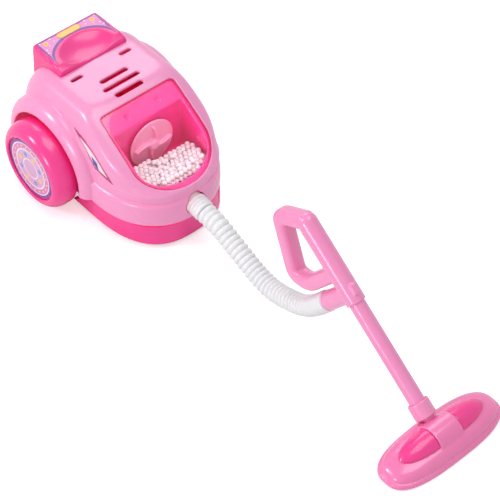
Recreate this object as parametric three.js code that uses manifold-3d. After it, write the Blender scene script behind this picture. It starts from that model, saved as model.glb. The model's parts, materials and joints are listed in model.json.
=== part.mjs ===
// Pink battery toy vacuum cleaner: canister with bead chamber, ribbed hose, wand and floor head.
// Millimetres, +Z up, +X from the canister towards the floor head, +Y to the canister's left.
// The pieces are laid out from the rear axle, then the whole model is moved to its floor centre.
import * as THREE from 'three';
import { mergeVertices } from 'three/addons/utils/BufferGeometryUtils.js';
import Module from 'manifold-3d';

const wasm = await Module();
wasm.setup();

// Fits
const fitGap = 0.3;
const runGap = 0.4;
const wall = 2.0;
const cutReach = 30;
const edgeRound = 0.6;
const mergeReach = 1e-4;

// Wheels and axle
const wheelRadius = 27.6;
const wheelWidth = 15.5;
const wheelOuterY = 51.5;
// The axle floats sideways in its bearings and rests pushed towards -Y
const axleFloat = 3.5;
const tyreRound = 8.5;
const wheelHeel = 4.0;
const wheelHeelWidth = 3.5;
const heelShare = 0.3;
const hubRecessRadius = 20.4;
const hubRecessDepth = 2.2;
const hubRimFlat = 0.8;
const hubRimEdge = 0.6;
const hubDiscRadius = 19.2;
const hubDiscThickness = 0.8;
const axleRadius = 1.5;
const axleCapRadius = 3.6;
const axleCapLength = 3.0;
const axleCapEdge = 1.0;
const axleCapWall = 1.2;
const axleCapRoom = 1.0;
const bearingBossRadius = 4.6;
const bearingBossLength = 4.0;

// Cover shell
const skirtBottom = 16.0;
const skirtTop = 33.8;
const skirtHalf = 38.2;
const skirtFront = 83.8;
const skirtRear = -41.2;
const skirtNose = 46;
const skirtSquareness = 2.25;
const skirtEdgeRound = 0.7;
const creaseHeight = 1.1;
const creaseDepth = 1.5;
const roofHeight = 77.0;
const roofHalf = 16;
const roofFront = 10;
const roofRear = -14;
const sideRound = 4.4;
const rearRound = 2.2;
const browRound = 14;
// Length and squareness of the dome's nose, by its share of the rise
const noseByRise = [[0, skirtNose], [0.2, 53], [0.49, 29], [0.75, 20], [1, 15]];
const squarenessByRise = [[0, skirtSquareness], [0.2, 3.0], [0.49, 5.0], [1, 5.0]];
// Heights of the dome's rings, as shares of its rise
const domeRises = [0, 0.1, 0.22, 0.34, 0.46, 0.58, 0.69, 0.79, 0.87, 0.93, 0.97, 0.992, 1];
const tailLength = 20;
const tailSquareness = 2.6;

// Wheel arches
const archRadius = 32.4;
const archLipY = 43.2;
const archBand = 6.2;
const archInnerY = 32.8;
const archCutBack = 1.0;
const archEndHeight = 20.0;
const archFoot = 1.0;
// Rounded outer shoulder of the arch, as shares of its band and steps back from its lip
const archShoulder = [[0.1, 0], [0.35, 0.5], [0.72, 2.4], [0.94, 5.0], [1, 8.0]];

// Sloped window and its chamber
const windowTopX = 33.8;
const windowTopZ = 74.4;
const windowSlope = 34.7 * Math.PI / 180;
const windowTopHalf = 26.4;
const windowHalf = 27.0;
const windowStraight = 34.0;
const windowLength = 57.5;
const windowCorner = 3.5;
const windowCutBack = 12;
const windowSunk = 0.5;
const windowThickness = 1.5;
const flangeThickness = 1.5;
const flangeOverlap = 2.0;
const flangeLedge = 3.0;
const flangeFrontLedge = 5.5;
const chamberRearX = 43.0;
const chamberFloor = 30.0;
const chamberWall = 1.5;
const ledgeMarkRadius = 1.3;
const ledgeMarkY = 11;
const ledgeMarkX = 38;
const ledgeMarkDepth = 0.6;

// Roof slots
const ventMiddleX = 20.5;
const ventPitch = 6.9;
const ventWidth = 3.0;
const ventHalfLengths = [9.8, 12.7, 9.8];
const notchX = 1.9;
const notchY = 17.4;
const notchLength = 8.2;
const notchWidth = 2.6;

// Side blade recesses
const bladeDepth = 1.1;
const bladeRearX = 19.0;
const bladeRearZ = 64.5;
const bladeFrontX = 54.5;
const bladeFrontZ = 41.5;
const bladeHeelX = 38.8;
const bladeHeelZ = 45.0;
const bladeBulgeX = 42.0;
const bladeBulgeZ = 61.0;
const bladeHollowX = 31.0;
const bladeHollowZ = 56.0;

// Rear grip
const gripTop = 82.7;
const gripRear = -33.0;
const gripFront = -4.2;
const gripFoot = 57;
const gripTopFront = -8.6;
const gripTopDrop = 1.3;
const gripLip = 80.2;
const gripHalf = 22.6;
const gripEdge = 1.6;
const gripLipCorner = 2.2;
const gripRearLean = 1.0;
const gripCorner = 3.0;
const frontFlareShare = 0.05;
const footFlareShare = 0.103;
const scoopX = -9.8;
const scoopZ = 86.8;
const scoopRadii = [16.5, 22.5, 8.6];
const scoopTilt = 3 * Math.PI / 180;

// Base tray
const groundClearance = 2.5;
const trayTop = 22.0;
const trayHalf = 34.1;
const trayFront = 81.6;
const trayRear = -38.6;
const trayNose = 50;
const traySquareness = 2.6;
const trayWall = 3.2;
const trayEdge = 1.5;
const wellPlateY = 31.4;
const wellPlateRadius = 31.6;
const wellPlateThickness = 2.0;
const wellGap = 1.8;
const footX = 68.0;
const footY = 18.5;
const footRadius = 3.2;
const footPegRadius = 2.0;
const footHeight = 2.2;
const footEdge = 0.8;

// Battery box, two AA cells across the tray
const cellRadius = 7.1;
const cellHalf = 25.25;
const cellGap = 0.8;
const cellPitch = 2 * cellRadius + cellGap;
const cellTipRadius = 2.7;
const cellTipLength = 1.0;
const cellEdge = 0.8;
const cellMiddleX = -12.5;
const contactThickness = 0.5;
const contactInset = 2.0;
const contactSplit = 2.0;
const contactBridge = 2.0;
const boxWall = 2.0;
const doorThickness = 1.8;
const doorLedge = 1.0;
const doorGrooves = 5;
const doorGroovePitch = 3.0;
const doorGrooveLength = 5.0;
const doorGrooveHalf = 0.5;

// Motor and fan
const motorRadius = 10.0;
const motorLength = 25.0;
const motorZ = 46.8;
const motorBossLength = 1.5;
const motorEdge = 0.8;
const collarWall = 1.5;
const collarLength = 13.0;
const shaftRadius = 1.0;
const shaftRecess = 1.5;
const shaftTail = 1.0;
const fanRadius = 15.4;
const fanDisc = 1.4;
const fanLift = 0.8;
const fanEdge = 0.4;
const fanHubRadius = 3.6;
const fanHubLength = 5.2;
const fanHubEdge = 0.8;
const fanVanes = 4;
const vaneHeight = 2.6;
const vaneThickness = 1.1;
const vaneLength = 11.0;
const vaneSink = 0.3;

// Bead heap
const heapFrontZ = 42.5;
const heapRearZ = 36.0;
const heapRearX = 50.5;

// Case screws, each with a tray post below and a cover post above
const screwPlaces = [[-33.0, 15.0], [-33.0, -15.0], [20.5, 24.5], [20.5, -24.5]];
const postRadius = 3.0;
const postSplit = 20.0;
const screwShank = 1.1;
const screwHead = 2.4;
const screwHeadHeight = 1.8;
const screwSeat = 12.0;
const screwGrip = 7.0;
const screwTip = 1.0;

// Slide switch under the front of the tray
const switchX = 47.0;
const switchTravel = 4.0;
const knobSize = 3.6;
const knobBottom = 1.0;
const knobGrooveHalf = 0.5;
const knobGrooveDepth = 0.6;
const switchLength = 15.0;
const switchWidth = 8.0;
const switchHeight = 6.5;

// Hose outlet and hose
const outletAhead = 7.7;
const outletX = skirtFront + outletAhead;
const outletZ = 26.3;
const outletDrop = 9 * Math.PI / 180;
const outletLength = 12.0;
const outletRadius = 7.2;
const outletRim = 0.4;
const outletRimLength = 1.6;
const outletRimEdge = 0.3;
const hoseRadius = 6.2;
const hoseValley = 5.2;
const hoseBore = 4.2;
const hosePitchAtOutlet = 3.7;
const hosePitchAtWand = 2.3;
const hoseSides = 14;
const boreRibs = 5;
// Where a rib's crest and valley lie in its pitch
const crestAt = 0.25;
const valleyAt = 0.75;
// Middle of the hose in the plane y = 0, as shares of the way between its straight ends and heights
const hoseRoute = [
  [0.1125, 20.4], [0.2158, 17.0], [0.3191, 13.6], [0.4224, 10.8], [0.5257, 9.5], [0.6229, 10.4],
  [0.7201, 12.9], [0.8174, 16.2], [0.9085, 21.2],
];

// Wand, laid out along its tube from the handle's lower end
const wandX = 213.6;
const wandZ = 54.3;
const wandTilt = 37.7 * Math.PI / 180;
const handleRadius = 5.6;
const handleLength = 49.0;
const loopThickness = 9.4;
const loopWidth = 10.0;
const loopCorner = 6.5;
// Most of a side that one rounded corner may take
const cornerShare = 0.45;
// Corners of the grip loop below the handle tube, along and below the tube
const loopCorners = [[-49.8, 0.5], [-58.8, -19.4], [-27.0, -39.4], [-18.9, -31.0], [-18.9, -3.0]];
const connectorX = -6.4;
const connectorRadius = 5.7;
const connectorEnd = 24.4;
const tubeRadius = 4.5;
const tubeBore = 3.3;
const tubeInsert = 13.0;
const tubeEnd = 65.0;
const latchX = -6.5;
const latchLength = 8.0;
const latchWidth = 4.0;
const latchHeight = 1.3;
const latchSink = 1.0;
const latchLean = 0.5;

// Floor head, placed ahead of the pivot at the wand's end
const pivotReach = 58.0;
const pivotX = wandX + pivotReach;
const pivotZ = 8.6;
const headAhead = 8.0;
const headX = pivotX + headAhead;
const headHalf = 40.0;
const headDepth = 15.4;
const headSquareness = 2.8;
const rimHeight = 4.2;
const rimStep = 1.6;
const rimEdge = 0.7;
const rimRise = 0.2;
const headLift = 0.5;
const domeHeight = 11.0;
const domeFlat = 0.35;
const domeSink = 1.0;
const ridgeHeight = 16.4;
const ridgeHalf = 32.5;
const ridgeDepth = 9.8;
const ridgeBase = 5.0;
const saddleHalf = 8.2;
const saddleProud = 0.5;
const soleThickness = 2.2;
const soleInset = 2.2;
const soleEdge = 0.5;
const mouthHalf = 26.0;
const mouthDepth = 4.0;
const hollowInset = 4.0;
const hollowTop = 4.5;
const sleeveRadius = 6.1;
const sleeveStart = 58.0;
const sleeveEnd = 66.5;
const tongueWidth = 5.0;
const tongueRadius = 3.4;
const pivotPinRadius = 1.2;
const pivotPinHalf = 6.4;
const tiltRange = 10 * Math.PI / 180;

// Facet counts
const bodySides = 36;
const archSides = 32;
const headSides = 32;
const roundSides = 26;
const barSides = 20;
const smallSides = 12;
const screwSides = 8;
const curveSteps = 8;
const sweepSteps = 20;
const sweepSides = 12;
const tyreSteps = 5;
const domeSteps = 6;
const bevelSteps = 3;

// Colours
const paint = {
  paleShell: { color: 0xff9dcb, roughness: 0.28, metalness: 0 },
  hotShell: { color: 0xff2f92, roughness: 0.28, metalness: 0 },
  clear: { color: 0xfdeef6, roughness: 0.05, metalness: 0 },
  disc: { color: 0xf5b6dc, roughness: 0.35, metalness: 0 },
  white: { color: 0xf4f4f2, roughness: 0.45, metalness: 0 },
  steel: { color: 0xb9bcc2, roughness: 0.35, metalness: 1 },
  brass: { color: 0xd8b56a, roughness: 0.35, metalness: 1 },
  black: { color: 0x26262a, roughness: 0.5, metalness: 0 },
  cell: { color: 0x3d6f3a, roughness: 0.4, metalness: 0.2 },
};

// Solids

function volumeOf(position, index) {
  const a = new THREE.Vector3();
  const b = new THREE.Vector3();
  const c = new THREE.Vector3();
  let six = 0;
  for (let i = 0; i < index.length; i += 3) {
    a.fromBufferAttribute(position, index[i]);
    b.fromBufferAttribute(position, index[i + 1]);
    c.fromBufferAttribute(position, index[i + 2]);
    six += a.dot(b.cross(c));
  }
  return six / 6;
}

// A closed geometry as a solid that can be joined and cut
function solid(geometry, matrix) {
  const bare = geometry.clone();
  bare.deleteAttribute('normal');
  bare.deleteAttribute('uv');
  if (matrix) bare.applyMatrix4(matrix);
  const merged = mergeVertices(bare, mergeReach);
  const source = merged.index.array;
  const kept = [];
  for (let i = 0; i < source.length; i += 3) {
    const [a, b, c] = [source[i], source[i + 1], source[i + 2]];
    if (a !== b && b !== c && c !== a) kept.push(a, b, c);
  }
  if (volumeOf(merged.attributes.position, kept) < 0) {
    for (let i = 0; i < kept.length; i += 3) [kept[i + 1], kept[i + 2]] = [kept[i + 2], kept[i + 1]];
  }
  const vertProperties = Float32Array.from(merged.attributes.position.array);
  const triVerts = Uint32Array.from(kept);
  return new wasm.Manifold(new wasm.Mesh({ numProp: 3, vertProperties, triVerts }));
}

function geometryOf(manifold) {
  const mesh = manifold.getMesh();
  const geometry = new THREE.BufferGeometry();
  geometry.setAttribute('position', new THREE.BufferAttribute(Float32Array.from(mesh.vertProperties), 3));
  geometry.setIndex(Array.from(mesh.triVerts));
  return geometry;
}

function moved(x, y, z) {
  return new THREE.Matrix4().makeTranslation(x, y, z);
}

function box(x0, x1, y0, y1, z0, z1) {
  const geometry = new THREE.BoxGeometry(x1 - x0, y1 - y0, z1 - z0);
  return solid(geometry, moved((x0 + x1) / 2, (y0 + y1) / 2, (z0 + z1) / 2));
}

// Round bars along each axis, from one place to another
function barAlongX(radius, x0, x1, y, z, sides = smallSides) {
  const geometry = new THREE.CylinderGeometry(radius, radius, x1 - x0, sides);
  geometry.rotateZ(-Math.PI / 2);
  return solid(geometry, moved((x0 + x1) / 2, y, z));
}

function barAlongY(radius, y0, y1, x, z, sides = smallSides) {
  const geometry = new THREE.CylinderGeometry(radius, radius, y1 - y0, sides);
  return solid(geometry, moved(x, (y0 + y1) / 2, z));
}

function barAlongZ(radius, z0, z1, x, y, sides = smallSides) {
  const geometry = new THREE.CylinderGeometry(radius, radius, z1 - z0, sides);
  geometry.rotateX(Math.PI / 2);
  return solid(geometry, moved(x, y, (z0 + z1) / 2));
}

// A profile of [radius, along] points turned about the Y axis
function turned(profile, sides = roundSides) {
  const points = profile.map(([radius, along]) => new THREE.Vector2(radius, along));
  return new THREE.LatheGeometry(points, sides);
}

function tubeProfile(outer, inner, from, to) {
  return [[inner, from], [outer, from], [outer, to], [inner, to], [inner, from]];
}

// Rings of equal point counts joined into one closed skin with flat ends
function skinOf(rings) {
  const count = rings[0].length;
  const positions = [];
  const index = [];
  for (const ring of rings) {
    for (const point of ring) positions.push(point.x, point.y, point.z);
  }
  for (let r = 0; r + 1 < rings.length; r += 1) {
    for (let i = 0; i < count; i += 1) {
      const a = r * count + i;
      const b = r * count + (i + 1) % count;
      index.push(a, b, b + count, a, b + count, a + count);
    }
  }
  for (const [ring, first] of [[0, 0], [rings.length - 1, (rings.length - 1) * count]]) {
    const middle = new THREE.Vector3();
    for (const point of rings[ring]) middle.addScaledVector(point, 1 / count);
    const centre = positions.length / 3;
    positions.push(middle.x, middle.y, middle.z);
    for (let i = 0; i < count; i += 1) {
      const a = first + i;
      const b = first + (i + 1) % count;
      if (ring === 0) index.push(centre, b, a);
      else index.push(centre, a, b);
    }
  }
  const geometry = new THREE.BufferGeometry();
  geometry.setAttribute('position', new THREE.Float32BufferAttribute(positions, 3));
  geometry.setIndex(index);
  return geometry;
}

// Plan outline with a rounded nose at the front and a rounded tail at the rear
function planOutline({ front, rear, half, nose, tail, frontPower, rearPower }, z) {
  const fit = Math.min(1, (front - rear) / (nose + tail));
  const ring = [];
  for (let i = 0; i < bodySides; i += 1) {
    const angle = 2 * Math.PI * (i + 0.5) / bodySides;
    const c = Math.cos(angle);
    const s = Math.sin(angle);
    const power = c > 0 ? frontPower : rearPower;
    const reach = Math.abs(c) ** (2 / power);
    const x = c > 0 ? front - fit * nose * (1 - reach) : rear + fit * tail * (1 - reach);
    ring.push(new THREE.Vector3(x, half * Math.sign(s) * Math.abs(s) ** (2 / power), z));
  }
  return ring;
}

// Ellipse-like outline round a middle point
function ovalOutline(middleX, depth, half, power, z, sides) {
  const ring = [];
  for (let i = 0; i < sides; i += 1) {
    const angle = 2 * Math.PI * (i + 0.5) / sides;
    const c = Math.cos(angle);
    const s = Math.sin(angle);
    const x = depth * Math.sign(c) * Math.abs(c) ** (2 / power);
    const y = half * Math.sign(s) * Math.abs(s) ** (2 / power);
    ring.push(new THREE.Vector3(middleX + x, y, z));
  }
  return ring;
}

function slotShape(length, width) {
  const reach = (length - width) / 2;
  const shape = new THREE.Shape();
  shape.absarc(reach, 0, width / 2, -Math.PI / 2, Math.PI / 2);
  shape.absarc(-reach, 0, width / 2, Math.PI / 2, 1.5 * Math.PI);
  return shape;
}

// A flat shape pushed along +Z from one height to another
function prism(shape, z0, z1, curveSegments = curveSteps) {
  const geometry = new THREE.ExtrudeGeometry(shape, { depth: z1 - z0, bevelEnabled: false, curveSegments });
  geometry.translate(0, 0, z0);
  return geometry;
}

// Cover form

const domeFoot = skirtTop + creaseHeight;
const domeRise = roofHeight - domeFoot;

function easedTo(inner, outer, rise, power) {
  return inner + (outer - inner) * (1 - rise ** power) ** (1 / power);
}

// Front of the dome at a height, on the window's slope
function slopeX(z) {
  return windowTopX + (windowTopZ - z) / Math.tan(windowSlope);
}

// Value at a share of the rise, straight between the rows of a table
function atRise(table, rise) {
  const next = Math.max(1, table.findIndex(([share]) => share >= rise));
  const [from, first] = table[next - 1];
  const [to, last] = table[next];
  return first + (last - first) * (rise - from) / (to - from);
}

function domeOutline(z) {
  const rise = Math.min(1, (z - domeFoot) / domeRise);
  const slope = Math.min(slopeX(z), skirtFront - creaseDepth);
  return planOutline({
    front: easedTo(roofFront, slope, rise, browRound),
    rear: easedTo(roofRear, skirtRear + creaseDepth, rise, rearRound),
    half: easedTo(roofHalf, skirtHalf - creaseDepth, rise, sideRound),
    nose: atRise(noseByRise, rise),
    tail: tailLength,
    frontPower: atRise(squarenessByRise, rise),
    rearPower: tailSquareness,
  }, z);
}

function skirtOutline(z, inset) {
  return planOutline({
    front: skirtFront - inset,
    rear: skirtRear + inset,
    half: skirtHalf - inset,
    nose: skirtNose,
    tail: tailLength,
    frontPower: skirtSquareness,
    rearPower: tailSquareness,
  }, z);
}

// Rings of the outer cover, from the skirt's lower edge to the middle of the roof
function coverRings() {
  const rings = [
    skirtOutline(skirtBottom, skirtEdgeRound),
    skirtOutline(skirtBottom + skirtEdgeRound, 0),
    skirtOutline((skirtBottom + skirtTop) / 2, -skirtEdgeRound / 2),
    skirtOutline(skirtTop - 2 * skirtEdgeRound, 0),
    skirtOutline(skirtTop, skirtEdgeRound),
  ];
  for (const rise of domeRises) rings.push(domeOutline(domeFoot + domeRise * rise));
  const last = rings[rings.length - 1];
  const middle = new THREE.Vector3((roofFront + roofRear) / 2, 0, roofHeight);
  rings.push(last.map((point) => point.clone().lerp(middle, 0.5)));
  return rings;
}

// The cover's rings moved inwards along their own normals, by a minus inset outwards
function insetRings(inset) {
  const rings = coverRings();
  const count = rings[0].length;
  return rings.map((ring, r) => ring.map((point, i) => {
    const around = ring[(i + 1) % count].clone().sub(ring[(i + count - 1) % count]);
    const below = rings[Math.max(0, r - 1)][i];
    const above = rings[Math.min(rings.length - 1, r + 1)][i];
    const normal = around.cross(above.clone().sub(below)).normalize();
    if (r === 0) normal.setZ(0).normalize();
    if (r >= rings.length - 2) normal.set(0, 0, 1);
    return point.clone().addScaledVector(normal, -inset);
  }));
}

// The closed cover form at an inset, run down below the skirt where it is to cut right through;
// the inner forms do with every second ring
function coverForm(inset, footZ = skirtBottom) {
  const sparse = inset > wall / 2;
  const rings = insetRings(inset).filter((ring, r, all) => !sparse || r % 2 === 0 || r === all.length - 2);
  if (footZ < skirtBottom) rings.unshift(rings[0].map((point) => point.clone().setZ(footZ)));
  return solid(skinOf(rings));
}

// Window outline on its slope, first across and then down the slope, grown by a margin
function windowShape(grow) {
  const top = windowTopHalf + grow;
  const half = windowHalf + grow;
  const corner = windowCorner;
  const shape = new THREE.Shape();
  shape.moveTo(-top + corner, grow);
  shape.lineTo(top - corner, grow);
  shape.quadraticCurveTo(top, grow, top, grow - corner);
  shape.lineTo(half, -windowStraight);
  shape.absellipse(0, -windowStraight, half, windowLength - windowStraight + grow, 0, -Math.PI, true);
  shape.lineTo(-top, grow - corner);
  shape.quadraticCurveTo(-top, grow, -top + corner, grow);
  return shape;
}

// The window outline pushed both ways square to its slope
function windowPrism(grow) {
  const across = new THREE.Vector3(0, 1, 0);
  const up = new THREE.Vector3(-Math.cos(windowSlope), 0, Math.sin(windowSlope));
  const out = new THREE.Vector3().crossVectors(across, up);
  const place = new THREE.Matrix4().makeBasis(across, up, out).setPosition(windowTopX, 0, windowTopZ);
  return solid(prism(windowShape(grow), -windowCutBack, cutReach, curveSteps), place);
}

// Plan of the bead chamber, shrunk by an inset
function chamberShape(inset) {
  const slope = Math.cos(windowSlope);
  const half = windowHalf - flangeLedge - inset;
  const frontReach = (windowLength - windowStraight - flangeFrontLedge) * slope - inset;
  const middleX = windowTopX + windowStraight * slope;
  const rear = chamberRearX + inset;
  const shape = new THREE.Shape();
  shape.moveTo(rear, -half);
  shape.lineTo(middleX, -half);
  shape.absellipse(middleX, 0, frontReach, half, -Math.PI / 2, Math.PI / 2, false);
  shape.lineTo(rear, half);
  shape.closePath();
  return shape;
}

const axleZ = wheelRadius;
const insideForm = coverForm(wall, skirtBottom - cutReach);
const outsideForm = coverForm(0);

// Wheel arch band round the axle, with a rounded outer shoulder
function archBandSolid(side) {
  const rim = archRadius - archFoot;
  const out = archRadius + archBand;
  const profile = [[rim, archInnerY], [rim, archLipY - edgeRound]];
  for (const [share, back] of archShoulder) profile.push([archRadius + share * archBand, archLipY - back]);
  profile.push([out, archInnerY], [rim, archInnerY]);
  const place = new THREE.Matrix4().makeScale(1, side, 1).setPosition(0, 0, axleZ);
  const ring = solid(turned(profile, archSides), place);
  return ring.subtract(box(-2 * out, 2 * out, -2 * archLipY, 2 * archLipY, -out, archEndHeight));
}

// Long blade-shaped recess on the flank between the arch and the window
function bladeCut(side) {
  const shape = new THREE.Shape();
  shape.moveTo(bladeRearX, bladeRearZ);
  shape.quadraticCurveTo(bladeBulgeX, bladeBulgeZ, bladeFrontX, bladeFrontZ);
  shape.lineTo(bladeHeelX, bladeHeelZ);
  shape.quadraticCurveTo(bladeHollowX, bladeHollowZ, bladeRearX, bladeRearZ);
  const geometry = prism(shape, 0, 2 * cutReach);
  geometry.rotateX(Math.PI / 2);
  if (side > 0) geometry.scale(1, -1, 1);
  const deepEnough = coverForm(bladeDepth);
  return solid(geometry).subtract(deepEnough);
}

const outletAxis = new THREE.Vector3(Math.cos(outletDrop), 0, -Math.sin(outletDrop));

// Places a geometry made along +Y so that it runs out of the hose outlet
function outletPlace() {
  const turn = new THREE.Quaternion().setFromUnitVectors(new THREE.Vector3(0, 1, 0), outletAxis);
  const one = new THREE.Vector3(1, 1, 1);
  return new THREE.Matrix4().compose(new THREE.Vector3(outletX, 0, outletZ), turn, one);
}

function outletHole(grow) {
  const radius = outletRadius + grow;
  const profile = [[0, -cutReach / 2], [radius, -cutReach / 2], [radius, 0], [0, 0]];
  return solid(turned(profile, barSides), outletPlace());
}

function upperCover() {
  let cover = outsideForm.subtract(insideForm);
  for (const side of [1, -1]) cover = cover.add(archBandSolid(side));
  for (const [x, y] of screwPlaces) {
    const post = barAlongZ(postRadius, postSplit + fitGap, roofHeight, x, y, screwSides);
    const pilot = barAlongZ(screwShank + fitGap, 0, postSplit + screwGrip + wall, x, y, screwSides);
    cover = cover.add(post.intersect(coverForm(wall / 2))).subtract(pilot);
  }
  for (const side of [1, -1]) {
    const near = side * (archInnerY - archCutBack);
    const far = side * 2 * archLipY;
    const wheelRoom = barAlongY(archRadius, Math.min(near, far), Math.max(near, far), 0, axleZ, archSides);
    cover = cover.subtract(wheelRoom);
    cover = cover.subtract(notchCut(side)).subtract(bladeCut(side));
  }
  ventHalfLengths.forEach((half, i) => {
    const row = i - (ventHalfLengths.length - 1) / 2;
    cover = cover.subtract(roofSlot(2 * half, ventWidth, ventMiddleX + row * ventPitch, 0));
  });
  return cover.subtract(windowPrism(0)).subtract(outletHole(fitGap));
}

// A round-ended slot across the roof
function roofSlot(length, width, x, y) {
  const place = new THREE.Matrix4().makeRotationZ(Math.PI / 2).setPosition(x, y, 0);
  const slot = prism(slotShape(length, width), roofHeight - 3 * wall, roofHeight + wall, curveSteps / 2);
  return solid(slot, place);
}

function notchCut(side) {
  return roofSlot(notchLength, notchWidth, notchX, side * notchY);
}

// Rear grip with its hollowed finger scoop, seated on the cover
function rearGrip() {
  const shape = new THREE.Shape();
  shape.moveTo(gripRear + gripRearLean, gripFoot);
  shape.lineTo(gripRear, gripTop - gripCorner);
  shape.quadraticCurveTo(gripRear, gripTop, gripRear + gripCorner, gripTop);
  shape.lineTo(gripTopFront, gripTop - gripTopDrop);
  shape.lineTo(gripFront - gripLipCorner, gripLip);
  shape.quadraticCurveTo(gripFront, gripLip, gripFront, gripLip - gripLipCorner);
  shape.lineTo(gripFront, gripFoot);
  shape.closePath();
  const geometry = new THREE.ExtrudeGeometry(shape, {
    depth: 2 * (gripHalf - gripEdge),
    bevelThickness: gripEdge,
    bevelSize: gripEdge,
    bevelOffset: -gripEdge,
    bevelSegments: bevelSteps,
    curveSegments: curveSteps / 2,
  });
  geometry.translate(0, 0, -(gripHalf - gripEdge));
  geometry.rotateX(Math.PI / 2);
  const points = geometry.attributes.position;
  for (let i = 0; i < points.count; i += 1) {
    const forward = (points.getX(i) - gripRear) / (gripFront - gripRear);
    const down = (gripTop - points.getZ(i)) / (gripTop - gripFoot);
    points.setY(i, points.getY(i) * (1 + frontFlareShare * forward + footFlareShare * down));
  }
  const bowl = new THREE.SphereGeometry(1, barSides, smallSides);
  bowl.scale(...scoopRadii);
  bowl.rotateY(scoopTilt);
  return solid(geometry).subtract(solid(bowl, moved(scoopX, 0, scoopZ))).subtract(coverForm(-fitGap));
}

// Clear window that fills the cover's opening
function windowPane() {
  const under = coverForm(windowSunk + windowThickness, skirtBottom - cutReach);
  return coverForm(windowSunk).subtract(under).intersect(windowPrism(-fitGap));
}

// Open bead chamber behind the window, with the flange that the window lies on
function chamberTub() {
  const flangeTop = wall + fitGap;
  const under = coverForm(flangeTop);
  const sheet = under.subtract(coverForm(flangeTop + flangeThickness, skirtBottom - cutReach));
  const outer = solid(prism(chamberShape(-chamberWall), chamberFloor - chamberWall, roofHeight, curveSteps));
  const inner = solid(prism(chamberShape(0), chamberFloor, roofHeight + wall, curveSteps));
  const collarEnd = chamberRearX - chamberWall - collarLength;
  const collarRadius = motorRadius + fitGap;
  const collar = barAlongX(collarRadius + collarWall, collarEnd, chamberRearX, 0, motorZ, barSides);
  const motorFront = chamberRearX - chamberWall;
  const motorRoom = barAlongX(collarRadius, collarEnd - wall, motorFront, 0, motorZ, barSides);
  const shaftRoom = barAlongX(shaftRadius + runGap, collarEnd, chamberRearX + wall, 0, motorZ);
  let tub = sheet.intersect(windowPrism(flangeOverlap));
  tub = tub.add(outer.intersect(under)).add(collar.intersect(under));
  tub = tub.subtract(inner).subtract(motorRoom).subtract(shaftRoom);
  for (const side of [1, -1]) {
    const mark = barAlongZ(ledgeMarkRadius, chamberFloor, roofHeight, ledgeMarkX, side * ledgeMarkY);
    tub = tub.subtract(mark.subtract(coverForm(flangeTop + ledgeMarkDepth)));
  }
  return tub;
}

// Loose white beads heaped against the window
function beadFill() {
  const room = solid(prism(chamberShape(fitGap), chamberFloor + fitGap, roofHeight, curveSteps));
  const shape = new THREE.Shape();
  const frontX = slopeX(chamberFloor);
  shape.moveTo(heapRearX, chamberFloor);
  shape.lineTo(frontX, chamberFloor);
  shape.lineTo(frontX, heapFrontZ);
  shape.quadraticCurveTo((heapRearX + frontX) / 2, heapFrontZ, heapRearX, heapRearZ);
  shape.closePath();
  const wedge = prism(shape, -cutReach, cutReach);
  wedge.rotateX(Math.PI / 2);
  const below = coverForm(windowSunk + windowThickness + runGap);
  return room.intersect(solid(wedge)).intersect(below);
}

// Base tray

function trayRing(z, inset) {
  return planOutline({
    front: trayFront - inset,
    rear: trayRear + inset,
    half: trayHalf - inset,
    nose: trayNose,
    tail: tailLength,
    frontPower: traySquareness,
    rearPower: tailSquareness,
  }, z);
}

const trayFloor = groundClearance + wall;
const boxHalf = cellHalf + 2 * fitGap + contactThickness;
const boxRear = cellMiddleX - cellPitch / 2 - cellRadius - fitGap;
const boxFront = cellMiddleX + cellPitch / 2 + cellRadius + fitGap;
const cellZ = groundClearance + doorThickness + fitGap + cellRadius;
const boxTop = cellZ + cellRadius + fitGap;
const wheelInnerY = wheelOuterY - wheelWidth;

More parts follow.
